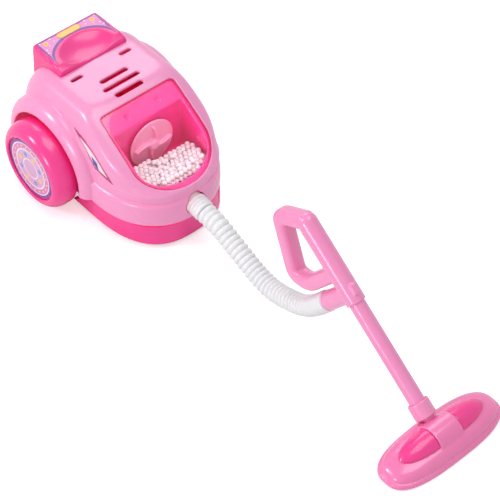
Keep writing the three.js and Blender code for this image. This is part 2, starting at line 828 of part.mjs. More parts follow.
function baseTray() {
  const bodyTop = skirtBottom - fitGap;
  const body = solid(skinOf([
    trayRing(groundClearance, trayEdge),
    trayRing(groundClearance + trayEdge / 3, trayEdge / 3),
    trayRing(groundClearance + trayEdge, 0),
    trayRing(bodyTop, 0),
  ]));
  const lipInset = wall + skirtEdgeRound + fitGap;
  const lip = solid(skinOf([skirtOutline(bodyTop - fitGap, lipInset), skirtOutline(trayTop, lipInset)]));
  const outer = body.add(lip);
  const inner = solid(skinOf([trayRing(trayFloor, trayWall), trayRing(trayTop + wall, trayWall)]));
  let tray = outer.subtract(inner);
  const floorBite = groundClearance + wall / 2;
  const wide = trayFront - trayRear;
  const aboveFloor = box(-wide, wide, -wide, wide, floorBite, roofHeight);
  const plateInner = wellPlateY - wellPlateThickness;
  for (const side of [1, -1]) {
    const ends = [side * plateInner, side * wellPlateY];
    const plate = barAlongY(wellPlateRadius, Math.min(...ends), Math.max(...ends), 0, axleZ, archSides);
    const bossEnds = [side * (plateInner - bearingBossLength), side * wellPlateY];
    const boss = barAlongY(bearingBossRadius, Math.min(...bossEnds), Math.max(...bossEnds), 0, axleZ);
    tray = tray.add(plate.intersect(aboveFloor)).add(boss);
  }
  const boxOut = [boxRear - boxWall, boxFront + boxWall, -boxHalf - boxWall, boxHalf + boxWall];
  tray = tray.add(box(...boxOut, floorBite, boxTop + boxWall));
  tray = tray.subtract(box(boxRear, boxFront, -boxHalf, boxHalf, 0, boxTop));
  const doorRoom = [boxRear - doorLedge, boxFront + doorLedge, -boxHalf, boxHalf];
  tray = tray.subtract(box(...doorRoom, 0, groundClearance + doorThickness + fitGap));
  for (const [x, y] of screwPlaces) {
    const post = barAlongZ(postRadius + wall / 2, floorBite, postSplit, x, y, screwSides).intersect(outer);
    const above = barAlongZ(postRadius + fitGap, postSplit, trayTop + wall, x, y, screwSides);
    const shank = barAlongZ(screwShank + fitGap, 0, postSplit + wall, x, y, screwSides);
    const sink = barAlongZ(screwHead + fitGap, 0, screwSeat, x, y, screwSides);
    tray = tray.add(post).subtract(above).subtract(shank).subtract(sink);
  }
  for (const side of [1, -1]) {
    tray = tray.subtract(barAlongZ(footPegRadius + fitGap, 0, trayFloor + wall, footX, side * footY));
  }
  const slotHalf = knobSize / 2 + fitGap;
  const slotEnds = [switchX - slotHalf, switchX + slotHalf, -slotHalf, slotHalf + switchTravel];
  const slot = box(...slotEnds, 0, trayFloor + wall);
  const axleRoom = barAlongY(axleRadius + fitGap, -2 * archLipY, 2 * archLipY, 0, axleZ);
  const archRoom = barAlongY(archRadius + archBand + fitGap, 0, archLipY, 0, axleZ, archSides)
    .subtract(box(-wide, wide, -wide, wide, -wide, archEndHeight - fitGap))
    .subtract(box(-wide, wide, 0, archInnerY - fitGap, 0, wide));
  const wheelRoom = barAlongY(wheelRadius + wellGap, wellPlateY, 2 * archLipY, 0, axleZ, archSides);
  const sideRoom = archRoom.add(wheelRoom);
  tray = tray.subtract(sideRoom).subtract(sideRoom.mirror([0, 1, 0]));
  return tray.subtract(slot).subtract(axleRoom).subtract(outletHole(runGap));
}

function batteryDoor() {
  const plate = box(
    boxRear - doorLedge + fitGap, boxFront + doorLedge - fitGap, -boxHalf + fitGap, boxHalf - fitGap,
    groundClearance, groundClearance + doorThickness,
  );
  let door = plate;
  for (let i = 0; i < doorGrooves; i += 1) {
    const y = (i - (doorGrooves - 1) / 2) * doorGroovePitch;
    const x = boxFront - doorGroovePitch;
    const depth = groundClearance + doorThickness / 3;
    door = door.subtract(box(x - doorGrooveLength, x, y - doorGrooveHalf, y + doorGrooveHalf, 0, depth));
  }
  return door;
}

function cellGeometry() {
  const body = cellHalf - cellTipLength;
  return turned([
    [0, -cellHalf], [cellRadius - cellEdge, -cellHalf], [cellRadius, -cellHalf + cellEdge],
    [cellRadius, body - cellEdge], [cellRadius - cellEdge, body],
    [cellTipRadius, body], [cellTipRadius, cellHalf], [0, cellHalf],
  ], smallSides);
}

// Spring-metal strip at one end of the battery box
function contactStrip(side) {
  const inner = side * (cellHalf + fitGap);
  const outer = side * (cellHalf + fitGap + contactThickness);
  const z0 = cellZ - cellRadius / 2;
  const z1 = boxTop - fitGap;
  const ends = [boxRear + contactInset, boxFront - contactInset];
  const strip = box(...ends, Math.min(inner, outer), Math.max(inner, outer), z0, z1);
  if (side > 0) return strip;
  const half = contactSplit / 2;
  const parted = box(cellMiddleX - half, cellMiddleX + half, -2 * cellHalf, 0, z0 - wall, z1 - contactBridge);
  return strip.subtract(parted);
}

// Wheels

function wheelGeometry() {
  const bore = axleRadius + fitGap;
  const recess = wheelWidth - hubRecessDepth;
  const pocket = recess - axleCapLength - axleCapRoom;
  const profile = [
    [bore, 0], [wheelRadius - wheelHeel, 0],
    [wheelRadius - heelShare * wheelHeel, heelShare * wheelHeelWidth], [wheelRadius, wheelHeelWidth],
  ];
  const rimFlat = hubRecessRadius + hubRimFlat;
  for (let i = 0; i <= tyreSteps; i += 1) {
    const turn = Math.PI / 2 * i / tyreSteps;
    const radius = rimFlat + (wheelRadius - rimFlat) * Math.cos(turn);
    profile.push([radius, wheelWidth - tyreRound + tyreRound * Math.sin(turn)]);
  }
  profile.push([hubRecessRadius, wheelWidth - hubRimEdge], [hubRecessRadius, recess]);
  profile.push([axleCapRadius + runGap, recess], [axleCapRadius + runGap, pocket], [bore, pocket], [bore, 0]);
  return turned(profile);
}

function hubDiscGeometry() {
  const floor = wheelWidth - hubRecessDepth + fitGap;
  const edge = hubDiscThickness / 3;
  return turned([
    [0, floor], [hubDiscRadius, floor], [hubDiscRadius, floor + hubDiscThickness - edge],
    [hubDiscRadius - edge, floor + hubDiscThickness], [0, floor + hubDiscThickness],
  ]);
}

const capOuterY = wheelOuterY - hubRecessDepth - runGap;
const axleHalf = capOuterY - axleCapWall;

function axleCapGeometry() {
  const inner = capOuterY - axleCapLength;
  const bore = axleRadius + fitGap;
  return turned([
    [bore, inner], [axleCapRadius, inner], [axleCapRadius, capOuterY - axleCapEdge],
    [axleCapRadius - axleCapEdge, capOuterY], [0, capOuterY],
    [0, axleHalf + fitGap], [bore, axleHalf + fitGap], [bore, inner],
  ], smallSides);
}

// Motor and fan, along X

function motorGeometry() {
  const front = chamberRearX - chamberWall - fitGap;
  const rear = front - motorLength;
  const back = rear + motorBossLength;
  const bore = shaftRadius + fitGap;
  const geometry = turned([
    [bore, rear], [motorRadius / 3, rear], [motorRadius / 3, back], [motorRadius - motorEdge, back],
    [motorRadius, back + motorEdge], [motorRadius, front - motorEdge], [motorRadius - motorEdge, front],
    [bore, front], [bore, rear],
  ], smallSides);
  geometry.rotateZ(-Math.PI / 2);
  return geometry;
}

const fanBack = chamberRearX + runGap;
const shaftFront = fanBack + fanHubLength - shaftRecess;
const shaftRear = chamberRearX - chamberWall - fitGap - motorLength + shaftTail;

// Disc fan with standing vanes beside its hub
function fanWheel() {
  const bore = shaftRadius + fitGap;
  const disc0 = fanBack + fanLift;
  const disc1 = disc0 + fanDisc;
  const front = fanBack + fanHubLength;
  const hub = turned([
    [bore, fanBack], [fanHubRadius, fanBack], [fanHubRadius, disc0], [fanRadius - fanEdge, disc0],
    [fanRadius, disc0 + fanEdge], [fanRadius - fanEdge, disc1], [fanHubRadius, disc1],
    [fanHubRadius, front - fanHubEdge], [fanHubRadius - fanHubEdge, front],
    [0, front], [0, shaftFront + fitGap], [bore, shaftFront + fitGap], [bore, fanBack],
  ], barSides);
  hub.rotateZ(-Math.PI / 2);
  let fan = solid(hub);
  for (let i = 0; i < fanVanes; i += 1) {
    const vane = new THREE.BoxGeometry(vaneHeight, vaneThickness, vaneLength);
    const lift = disc1 + vaneHeight / 2 - vaneSink;
    vane.translate(lift, fanHubRadius - vaneThickness, (fanHubRadius + vaneLength) / 2);
    vane.rotateX(2 * Math.PI * i / fanVanes);
    fan = fan.add(solid(vane));
  }
  return fan;
}

// Slide switch

const switchSeat = trayFloor + fitGap;

function switchBody() {
  const middle = switchTravel / 2;
  const body = box(
    switchX - switchWidth / 2, switchX + switchWidth / 2,
    middle - switchLength / 2, middle + switchLength / 2, switchSeat, switchSeat + switchHeight,
  );
  const half = knobSize / 2 + fitGap;
  const trackTop = switchSeat + switchHeight / 2;
  const track = box(switchX - half, switchX + half, -half, half + switchTravel, 0, trackTop);
  return body.subtract(track);
}

function switchKnob() {
  const half = knobSize / 2;
  const stemTop = switchSeat + switchHeight / 2 - fitGap;
  const stem = box(switchX - half, switchX + half, -half, half, knobBottom, stemTop);
  const grooveEnds = [switchX - knobSize, switchX + knobSize, -knobGrooveHalf, knobGrooveHalf];
  const groove = box(...grooveEnds, 0, knobBottom + knobGrooveDepth);
  return stem.subtract(groove);
}

function screwGeometry() {
  const headTop = screwSeat - fitGap;
  const headFoot = headTop - screwHeadHeight;
  const slotTop = headFoot + screwHeadHeight / 2;
  const tip = postSplit + screwGrip;
  return turned([
    [0, slotTop], [screwShank, slotTop], [screwShank, headFoot], [screwHead, headFoot],
    [screwHead, headTop], [screwShank, headTop], [screwShank, tip - screwTip], [0, tip],
  ], screwSides);
}

function footGeometry() {
  const top = trayFloor;
  return turned([
    [0, 0], [footRadius - footEdge, 0], [footRadius, footEdge], [footRadius, footHeight],
    [footPegRadius, footHeight], [footPegRadius, top], [0, top],
  ], smallSides);
}

function outletCollar() {
  const inner = -outletLength;
  const collar = turned([
    [hoseBore, inner], [outletRadius, inner], [outletRadius, -outletRimLength],
    [outletRadius + outletRim, -outletRimLength],
    [outletRadius + outletRim, -outletRimEdge], [outletRadius, 0], [hoseBore, 0], [hoseBore, inner],
  ], barSides);
  return solid(collar, outletPlace());
}

// Wand, in its own frame: +X down the tube, +Z square to it in the middle plane

function sweptBar(corners, width, thickness, corner) {
  const path = new THREE.CurvePath();
  const points = corners.map(([x, z]) => new THREE.Vector3(x, 0, z));
  const nearCorner = (at, towards) => {
    const share = Math.min(cornerShare, corner / at.distanceTo(towards));
    return at.clone().lerp(towards, share);
  };
  let from = points[0];
  for (let i = 1; i + 1 < points.length; i += 1) {
    const before = nearCorner(points[i], points[i - 1]);
    const after = nearCorner(points[i], points[i + 1]);
    path.add(new THREE.LineCurve3(from, before));
    path.add(new THREE.QuadraticBezierCurve3(before, points[i], after));
    from = after;
  }
  path.add(new THREE.LineCurve3(from, points[points.length - 1]));
  const section = new THREE.Shape();
  section.absellipse(0, 0, thickness / 2, width / 2, 0, 2 * Math.PI);
  const settings = { steps: sweepSteps, extrudePath: path, curveSegments: sweepSides / 2 };
  return solid(new THREE.ExtrudeGeometry(section, settings));
}

function wandHandle() {
  const top = -handleLength;
  let handle = barAlongX(handleRadius, top, 0, 0, 0, barSides);
  const end = new THREE.SphereGeometry(handleRadius, barSides, curveSteps);
  handle = handle.add(solid(end, moved(top, 0, 0)));
  handle = handle.add(sweptBar(loopCorners, loopWidth, loopThickness, loopCorner));
  handle = handle.add(barAlongZ(connectorRadius, -connectorEnd, 0, connectorX, 0, barSides));
  const latch = new THREE.Shape();
  const foot = handleRadius - latchSink;
  const crown = handleRadius + latchHeight;
  latch.moveTo(latchX - latchLength / 2, foot);
  latch.lineTo(latchX - latchLength / 2 + latchLean, crown);
  latch.lineTo(latchX + latchLength / 4, crown);
  latch.lineTo(latchX + latchLength / 2, foot);
  const bump = prism(latch, -latchWidth / 2, latchWidth / 2);
  bump.rotateX(Math.PI / 2);
  handle = handle.add(solid(bump));
  handle = handle.subtract(barAlongZ(hoseBore, -2 * connectorEnd, -handleRadius, connectorX, 0));
  return handle.subtract(barAlongX(tubeRadius + fitGap, -tubeInsert - fitGap, wall, 0, 0, barSides));
}

function extensionTube() {
  const geometry = turned(tubeProfile(tubeRadius, tubeBore, -tubeInsert, tubeEnd), barSides);
  geometry.rotateZ(-Math.PI / 2);
  return solid(geometry);
}

// Where the head's pivot lies along and square to the wand tube
const pivotAlong = (pivotX - wandX) * Math.cos(wandTilt) - (pivotZ - wandZ) * Math.sin(wandTilt);
const pivotSquare = (pivotX - wandX) * Math.sin(wandTilt) + (pivotZ - wandZ) * Math.cos(wandTilt);

function sleeveForm(grow, sides) {
  return barAlongX(sleeveRadius + grow, sleeveStart - grow, sleeveEnd + grow, 0, 0, sides);
}

function tongueForm(grow) {
  const half = tongueWidth / 2 + grow;
  const reach = tongueRadius + grow;
  const arm = box(sleeveEnd - wall, pivotAlong, -half, half, pivotSquare - reach, pivotSquare + reach);
  return arm.add(barAlongY(reach, -half, half, pivotAlong, pivotSquare));
}

function headSleeve() {
  const sleeve = sleeveForm(0, barSides).add(tongueForm(0));
  const socket = barAlongX(tubeRadius + fitGap, sleeveStart - wall, tubeEnd + fitGap, 0, 0, barSides);
  const pinReach = 2 * tongueWidth;
  const pinRoom = barAlongY(pivotPinRadius + fitGap, -pinReach, pinReach, pivotAlong, pivotSquare);
  return sleeve.subtract(socket).subtract(pinRoom);
}

const wandPlace = new THREE.Matrix4().makeRotationY(wandTilt).setPosition(wandX, 0, wandZ);

// Floor head, on the floor

function headRing(inset, z) {
  return ovalOutline(headX, headDepth - inset, headHalf - inset, headSquareness, z, headSides);
}

// Rounded dome above the rim, grown by a margin
function headDome(grow) {
  const rings = [];
  const foot = rimHeight - domeSink;
  for (let i = 0; i <= domeSteps; i += 1) {
    const turn = Math.PI / 2 * i / domeSteps;
    const shrink = domeFlat + (1 - domeFlat) * Math.cos(turn);
    const depth = (headDepth - rimStep + grow) * shrink;
    const half = (headHalf - rimStep + grow) * shrink;
    const z = foot + (domeHeight - foot + grow) * Math.sin(turn);
    rings.push(ovalOutline(headX, depth, half, headSquareness, z, headSides));
  }
  return solid(skinOf(rings));
}

function ridgeForm(grow) {
  const geometry = new THREE.SphereGeometry(1, roundSides, smallSides);
  geometry.rotateX(Math.PI / 2);
  geometry.scale(ridgeDepth + grow, ridgeHalf + grow, ridgeHeight - ridgeBase + grow);
  return solid(geometry, moved(headX, 0, ridgeBase));
}

// The room that the sleeve and its tongue sweep through inside the head
function pivotRoom() {
  const gap = runGap;
  let room = null;
  for (const share of [-1, 0, 1]) {
    const swing = new THREE.Matrix4().makeTranslation(pivotX, 0, pivotZ);
    swing.multiply(new THREE.Matrix4().makeRotationY(share * tiltRange));
    swing.multiply(new THREE.Matrix4().makeTranslation(-pivotX, 0, -pivotZ));
    const place = swing.multiply(wandPlace);
    const swept = solid(geometryOf(sleeveForm(gap, smallSides).add(tongueForm(gap))), place);
    room = room ? room.add(swept) : swept;
  }
  return room;
}

function headCover() {
  const rim = solid(skinOf([
    headRing(rimEdge, headLift), headRing(0, headLift + rimEdge),
    headRing(0, rimHeight - rimEdge), headRing(rimEdge, rimHeight),
    headRing(rimStep + rimEdge / 2, rimHeight + rimRise),
  ]));
  const across = [headX - headDepth, headX + headDepth, -saddleHalf, saddleHalf];
  const saddle = ridgeForm(saddleProud).intersect(box(...across, rimHeight - domeSink, 2 * ridgeHeight));
  const recess = solid(skinOf([headRing(soleInset, -wall), headRing(soleInset, soleThickness + fitGap)]));
  const hollow = solid(skinOf([headRing(hollowInset, 0), headRing(hollowInset, hollowTop)]));
  const pinReach = pivotPinHalf + fitGap;
  const pinRoom = barAlongY(pivotPinRadius + fitGap, -pinReach, pinReach, pivotX, pivotZ);
  const cover = rim.add(headDome(0)).add(saddle).subtract(recess).subtract(hollow);
  return cover.subtract(pivotRoom()).subtract(pinRoom);
}

// Bright panel on one side of the head's saddle
function headInsert(side) {
  const ends = [side * (saddleHalf + fitGap), side * headHalf];
  const across = [headX - headDepth, headX + headDepth, Math.min(...ends), Math.max(...ends)];
  const half = box(...across, ridgeBase, 2 * ridgeHeight);
  return ridgeForm(0).intersect(half).subtract(headDome(fitGap));
}

function headSole() {
  const plate = solid(skinOf([
    headRing(soleInset + fitGap + soleEdge, 0), headRing(soleInset + fitGap, soleEdge),
    headRing(soleInset + fitGap, soleThickness),
  ]));
  const mouth = [headX - mouthDepth, headX + mouthDepth, -mouthHalf, mouthHalf];
  return plate.subtract(box(...mouth, -wall, soleThickness + wall));
}

// Ribbed hose

function wandPoint(along, square) {
  return new THREE.Vector3(along, 0, square).applyMatrix4(wandPlace);
}

function hosePath() {
  const outlet = new THREE.Vector3(outletX, 0, outletZ);
  const straight = 2 * hoseRadius;
  const runs = [fitGap, straight / 2, straight];
  const first = runs.map((run) => outlet.clone().addScaledVector(outletAxis, run));
  const last = runs.toReversed().map((run) => wandPoint(connectorX, -connectorEnd - run));
  const from = first[first.length - 1].x;
  const middle = hoseRoute.map(([share, z]) => new THREE.Vector3(from + share * (last[0].x - from), 0, z));
  return new THREE.CatmullRomCurve3([...first, ...middle, ...last], false, 'centripetal');
}

function ringRound(path, at, radius) {
  const middle = path.getPointAt(at);
  const ahead = path.getTangentAt(at);
  const across = new THREE.Vector3(0, 1, 0);
  const up = new THREE.Vector3().crossVectors(ahead, across).normalize();
  const ring = [];
  for (let i = 0; i < hoseSides; i += 1) {
    const turn = 2 * Math.PI * i / hoseSides;
    const point = middle.clone().addScaledVector(across, radius * Math.cos(turn));
    ring.push(point.addScaledVector(up, radius * Math.sin(turn)));
  }
  return ring;
}

// Ribs with their valleys outside and a plain bore inside, as one closed skin
function hoseGeometry() {
  const path = hosePath();
  const length = path.getLength();
  const pitch = (hosePitchAtOutlet + hosePitchAtWand) / 2;
  const ribs = Math.round(length / pitch);
  const place = (rib) => {
    const even = rib / ribs;
    const stretch = (hosePitchAtOutlet - hosePitchAtWand) / (2 * pitch);
    return Math.min(1, even + stretch * even * (1 - even));
  };
  const rings = [];
  for (let rib = 0; rib < ribs; rib += 1) {
    rings.push(ringRound(path, place(rib + (rib ? crestAt : 0)), rib ? hoseRadius : hoseValley));
    rings.push(ringRound(path, place(rib + valleyAt), rib ? hoseValley : hoseRadius));
  }
  rings.push(ringRound(path, 1, hoseValley));
  for (let rib = ribs; rib > 0; rib -= boreRibs) rings.push(ringRound(path, place(rib), hoseBore));
  rings.push(ringRound(path, 0, hoseBore));
  const positions = [];
  const index = [];
  for (const ring of rings) {
    for (const point of ring) positions.push(point.x, point.y, point.z);
  }
  for (let r = 0; r < rings.length; r += 1) {
    const next = (r + 1) % rings.length;
    for (let i = 0; i < hoseSides; i += 1) {
      const a = r * hoseSides + i;
      const b = r * hoseSides + (i + 1) % hoseSides;
      const c = next * hoseSides + (i + 1) % hoseSides;
      const d = next * hoseSides + i;
      index.push(a, b, c, a, c, d);
    }
  }
  const geometry = new THREE.BufferGeometry();
  geometry.setAttribute('position', new THREE.Float32BufferAttribute(positions, 3));
  geometry.setIndex(index);
  return geometry;
}

// Scene

function piece(name, shape, finish) {
  const geometry = shape.isBufferGeometry ? geometryOf(solid(shape)) : geometryOf(shape);
  const mesh = new THREE.Mesh(geometry, new THREE.MeshStandardMaterial(paint[finish]));
  mesh.name = name;
  return mesh;
}

const vacuum = new THREE.Group();

const canister = new THREE.Group();
canister.add(
  piece('upper_cover', upperCover(), 'paleShell'),
  piece('base_tray', baseTray(), 'hotShell'),
  piece('rear_grip', rearGrip(), 'hotShell'),
  piece('window', windowPane(), 'clear'),
  piece('chamber_tub', chamberTub(), 'hotShell'),
  piece('bead_fill', beadFill(), 'white'),
  piece('fan', fanWheel().translate(0, 0, motorZ), 'paleShell'),
  piece('motor_shaft', barAlongX(shaftRadius, shaftRear, shaftFront, 0, motorZ), 'steel'),
  piece('motor_can', solid(motorGeometry(), moved(0, 0, motorZ)), 'steel'),
  piece('battery_door', batteryDoor(), 'hotShell'),
  piece('switch_body', switchBody(), 'black'),
  piece('switch_knob', switchKnob(), 'black'),
  piece('hose_outlet', outletCollar(), 'white'),
);
vacuum.add(canister);

const runningGear = new THREE.Group();
runningGear.position.set(0, -axleFloat, axleZ);
runningGear.add(piece('rear_axle', barAlongY(axleRadius, -axleHalf, axleHalf, 0, 0), 'steel'));
vacuum.add(runningGear);

for (const [name, side] of [['left', 1], ['right', -1]]) {
  const corner = new THREE.Group();
  corner.rotation.z = side > 0 ? 0 : Math.PI;
  const wheel = new THREE.Group();
  wheel.position.y = wheelInnerY;
  wheel.add(piece(`wheel_${name}`, wheelGeometry(), 'hotShell'));
  wheel.add(piece(`hub_disc_${name}`, hubDiscGeometry(), 'disc'));
  corner.add(wheel, piece(`axle_cap_${name}`, axleCapGeometry(), 'steel'));
  runningGear.add(corner);

  const foot = piece(`front_foot_${name}`, footGeometry(), 'white');
  foot.rotation.x = Math.PI / 2;
  foot.position.set(footX, side * footY, 0);
  vacuum.add(foot);

  const cell = piece(`battery_${name}`, cellGeometry(), 'cell');
  cell.position.set(cellMiddleX + side * cellPitch / 2, 0, cellZ);
  cell.rotation.z = side > 0 ? 0 : Math.PI;
  vacuum.add(cell, piece(`contact_strip_${name}`, contactStrip(side), 'brass'));
}

screwPlaces.forEach(([x, y], i) => {
  const screw = piece(`case_screw_${i + 1}`, screwGeometry(), 'steel');
  screw.rotation.x = Math.PI / 2;
  screw.position.set(x, y, 0);
  vacuum.add(screw);
});

const wand = new THREE.Group();
wand.position.set(wandX, 0, wandZ);
wand.rotation.y = wandTilt;
wand.add(
  piece('wand_handle', wandHandle(), 'paleShell'),
  piece('extension_tube', extensionTube(), 'paleShell'),
  piece('head_sleeve', headSleeve(), 'paleShell'),
);
vacuum.add(wand);

const head = new THREE.Group();
head.add(
  piece('head_cover', headCover(), 'paleShell'),
  piece('head_insert_left', headInsert(1), 'hotShell'),
  piece('head_insert_right', headInsert(-1), 'hotShell'),
  piece('head_sole', headSole(), 'hotShell'),
  piece('head_pivot_pin', barAlongY(pivotPinRadius, -pivotPinHalf, pivotPinHalf, pivotX, pivotZ), 'steel'),
);
vacuum.add(head);

vacuum.updateMatrixWorld(true);
const reach = new THREE.Box3().setFromObject(vacuum, true);
vacuum.add(piece('hose', hoseGeometry(), 'white'));
vacuum.position.set(-(reach.min.x + reach.max.x) / 2, -(reach.min.y + reach.max.y) / 2, -reach.min.z);

export default vacuum;
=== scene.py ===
import json
import math
import random

import bmesh
import bpy
from mathutils import Matrix, Vector
from mathutils.bvhtree import BVHTree


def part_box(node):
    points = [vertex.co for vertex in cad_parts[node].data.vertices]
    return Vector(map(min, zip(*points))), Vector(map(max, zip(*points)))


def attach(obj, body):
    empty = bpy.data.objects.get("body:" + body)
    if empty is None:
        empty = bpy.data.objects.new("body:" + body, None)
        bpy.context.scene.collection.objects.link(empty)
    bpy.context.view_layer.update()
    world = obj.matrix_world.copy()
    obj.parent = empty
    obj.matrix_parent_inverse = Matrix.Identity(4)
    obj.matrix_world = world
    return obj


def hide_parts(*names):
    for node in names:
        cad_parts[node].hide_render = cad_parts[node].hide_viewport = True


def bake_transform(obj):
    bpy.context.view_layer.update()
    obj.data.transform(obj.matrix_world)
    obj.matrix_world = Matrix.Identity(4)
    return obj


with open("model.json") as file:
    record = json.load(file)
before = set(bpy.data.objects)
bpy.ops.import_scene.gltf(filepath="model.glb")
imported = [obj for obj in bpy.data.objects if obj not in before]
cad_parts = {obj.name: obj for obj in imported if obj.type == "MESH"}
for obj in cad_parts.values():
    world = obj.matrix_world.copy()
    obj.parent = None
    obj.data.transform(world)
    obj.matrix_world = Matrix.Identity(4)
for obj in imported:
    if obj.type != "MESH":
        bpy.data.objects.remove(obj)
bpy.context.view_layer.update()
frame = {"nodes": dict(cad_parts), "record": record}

scene = bpy.context.scene
nodes = frame["nodes"]


# Settings of one piece, read as names
class Settings(dict):
    __getattr__ = dict.__getitem__


# Placing: the toy is drawn in millimetres from the middle of its rear axle, then set in the frame

def shift(x, y, z):
    return Matrix.Translation((x, y, z))


def spin(degrees, axis):
    return Matrix.Rotation(math.radians(degrees), 4, axis)


def mirrored(side):
    return Matrix.Scale(side, 4, (0, 1, 0))


axleLow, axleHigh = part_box("rear_axle")
coverLow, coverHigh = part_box("upper_cover")
axleX = (axleLow.x + axleHigh.x) / 2
middleY = (coverLow.y + coverHigh.y) / 2
toFrame = shift(axleX, middleY, 0) @ Matrix.Scale(0.001, 4)
fromFrame = toFrame.inverted()

across = Vector((0, 1, 0))
alongX = spin(90, "Y")
alongY = spin(-90, "X")
standing = spin(90, "X")
farOut = 90
farBelow = -20

wand = Settings(x=213.6, z=54.3, tilt=37.7)
wandPlace = shift(wand.x, 0, wand.z) @ spin(wand.tilt, "Y")


def newPiece(name, data):
    piece = bpy.data.objects.new(name, data)
    scene.collection.objects.link(piece)
    return piece


# Camera at the photograph's angle

photoView = Settings(
    position=(634.70, -443.80, 759.54),
    right=(0.6603, 0.7510, 0.0),
    up=(-0.55372, 0.48680, 0.67559),
    lens=129.6,
    sensor=36.0,
    clip=(0.01, 50),
)


def makeCamera(s):
    lens = bpy.data.cameras.new("photoCamera")
    lens.lens = s.lens
    lens.sensor_width = s.sensor
    lens.clip_start, lens.clip_end = s.clip
    right = Vector(s.right).normalized()
    up = Vector(s.up).normalized()
    turn = Matrix((right, up, right.cross(up).normalized())).transposed().to_4x4()
    scene.camera = newPiece("photoCamera", lens)
    scene.camera.matrix_world = Matrix.Translation(toFrame @ Vector(s.position)) @ turn


makeCamera(photoView)
print("camera placed")


# Meshes drawn in millimetres

def pieceFrom(name, points, faces, place=Matrix()):
    mesh = bpy.data.meshes.new(name)
    mesh.from_pydata([tuple(p) for p in points], [], faces)
    mesh.transform(toFrame @ place)
    mesh.validate()
    work = bmesh.new()
    work.from_mesh(mesh)
    bmesh.ops.recalc_face_normals(work, faces=work.faces)
    work.to_mesh(mesh)
    work.free()
    return newPiece(name, mesh)


def smoothOver(piece, sharpAngle):
    piece.data.shade_smooth()
    piece.data.set_sharp_from_angle(angle=math.radians(sharpAngle))


def welded(piece, gap):
    weld = piece.modifiers.new("weld", "WELD")
    weld.merge_threshold = gap


# Flat faces stay flat beside rounded edges
def levelled(piece):
    level = piece.modifiers.new("level", "WEIGHTED_NORMAL")
    level.weight = 100
    level.keep_sharp = True


def dress(piece, look, body=None, stands=()):
    piece.data.materials.clear()
    piece.data.materials.append(plastic[look])
    if body:
        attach(piece, body)
    if stands:
        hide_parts(*stands)
    return piece


# Cosine and sine at even steps round a circle, or along an arc
def around(count, start=0.0):
    turns = [2 * math.pi * (i + start) / count for i in range(count)]
    return [(math.cos(t), math.sin(t)) for t in turns]


def arcOf(first, last, steps):
    turns = [first + (last - first) * k / steps for k in range(steps + 1)]
    return [(math.cos(t), math.sin(t)) for t in turns]


# A cosine or sine bent towards a squarer outline
def squared(value, power):
    return math.copysign(abs(value) ** (2 / power), value)


# Rings of equal counts joined side by side; closed rings turn the last ring back to the first
def ringSkin(rings, closed=False, capped=False):
    count = len(rings[0])
    points = [p for ring in rings for p in ring]
    faces = []
    for r in range(len(rings) if closed else len(rings) - 1):
        here, there = r * count, (r + 1) % len(rings) * count
        for i in range(count):
            j = (i + 1) % count
            faces.append((here + i, here + j, there + j, there + i))
    if capped:
        faces.append(tuple(range(count))[::-1])
        faces.append(tuple((len(rings) - 1) * count + i for i in range(count)))
    return points, faces


def loft(name, rings, place=Matrix()):
    return pieceFrom(name, *ringSkin(rings, capped=True), place)


# Smooth line through points, evenly stepped along its length
def smoothLine(points, steps, finer=40):
    points = [Vector(p) for p in points]
    reach = [points[0] * 2 - points[1], *points, points[-1] * 2 - points[-2]]
    dense = []
    for i in range(len(points) - 1):
        near = reach[i:i + 4]
        t = [0.0]
        for a, b in zip(near, near[1:]):
            t.append(t[-1] + max((b - a).length, 1e-6) ** 0.5)
        for k in range(finer):
            s = t[1] + (t[2] - t[1]) * k / finer
            level = near
            for firsts, lasts in ((t[:3], t[1:]), (t[:2], t[2:]), (t[1:2], t[2:3])):
                level = [a.lerp(b, (s - first) / (last - first))
                         for a, b, first, last in zip(level, level[1:], firsts, lasts)]
            dense.append(level[0])
    dense.append(points[-1])
    runs = [0.0]
    for a, b in zip(dense, dense[1:]):
        runs.append(runs[-1] + (b - a).length)
    line, low = [], 0
    for k in range(steps + 1):
        run = runs[-1] * k / steps
        while low < len(runs) - 2 and runs[low + 1] < run:
            low += 1
        share = (run - runs[low]) / max(runs[low + 1] - runs[low], 1e-9)
        line.append(dense[low].lerp(dense[low + 1], min(1, share)))
    return line, runs[-1]


# Shader groups

def newGroup(name, inputs, outputs):
    group = bpy.data.node_groups.new(name, "ShaderNodeTree")
    for label, kind, value in inputs:
        socket = group.interface.new_socket(name=label, in_out="INPUT", socket_type="NodeSocket" + kind)
        socket.default_value = value
    for label, kind in outputs:
        group.interface.new_socket(name=label, in_out="OUTPUT", socket_type="NodeSocket" + kind)
    return group, group.nodes.new("NodeGroupInput"), group.nodes.new("NodeGroupOutput")


def addNode(tree, kind, **values):
    node = tree.nodes.new("ShaderNode" + kind)
    for key, value in values.items():
        setattr(node, key, value)
    return node


def setInputs(node, values):
    for label, value in values.items():
        node.inputs[label].default_value = value


def mathNode(tree, operation, first, second):
    node = addNode(tree, "Math", operation=operation)
    for socket, value in zip(node.inputs, (first, second)):
        if isinstance(value, (int, float)):
            socket.default_value = value
        else:
            tree.links.new(value, socket)
    return node.outputs[0]


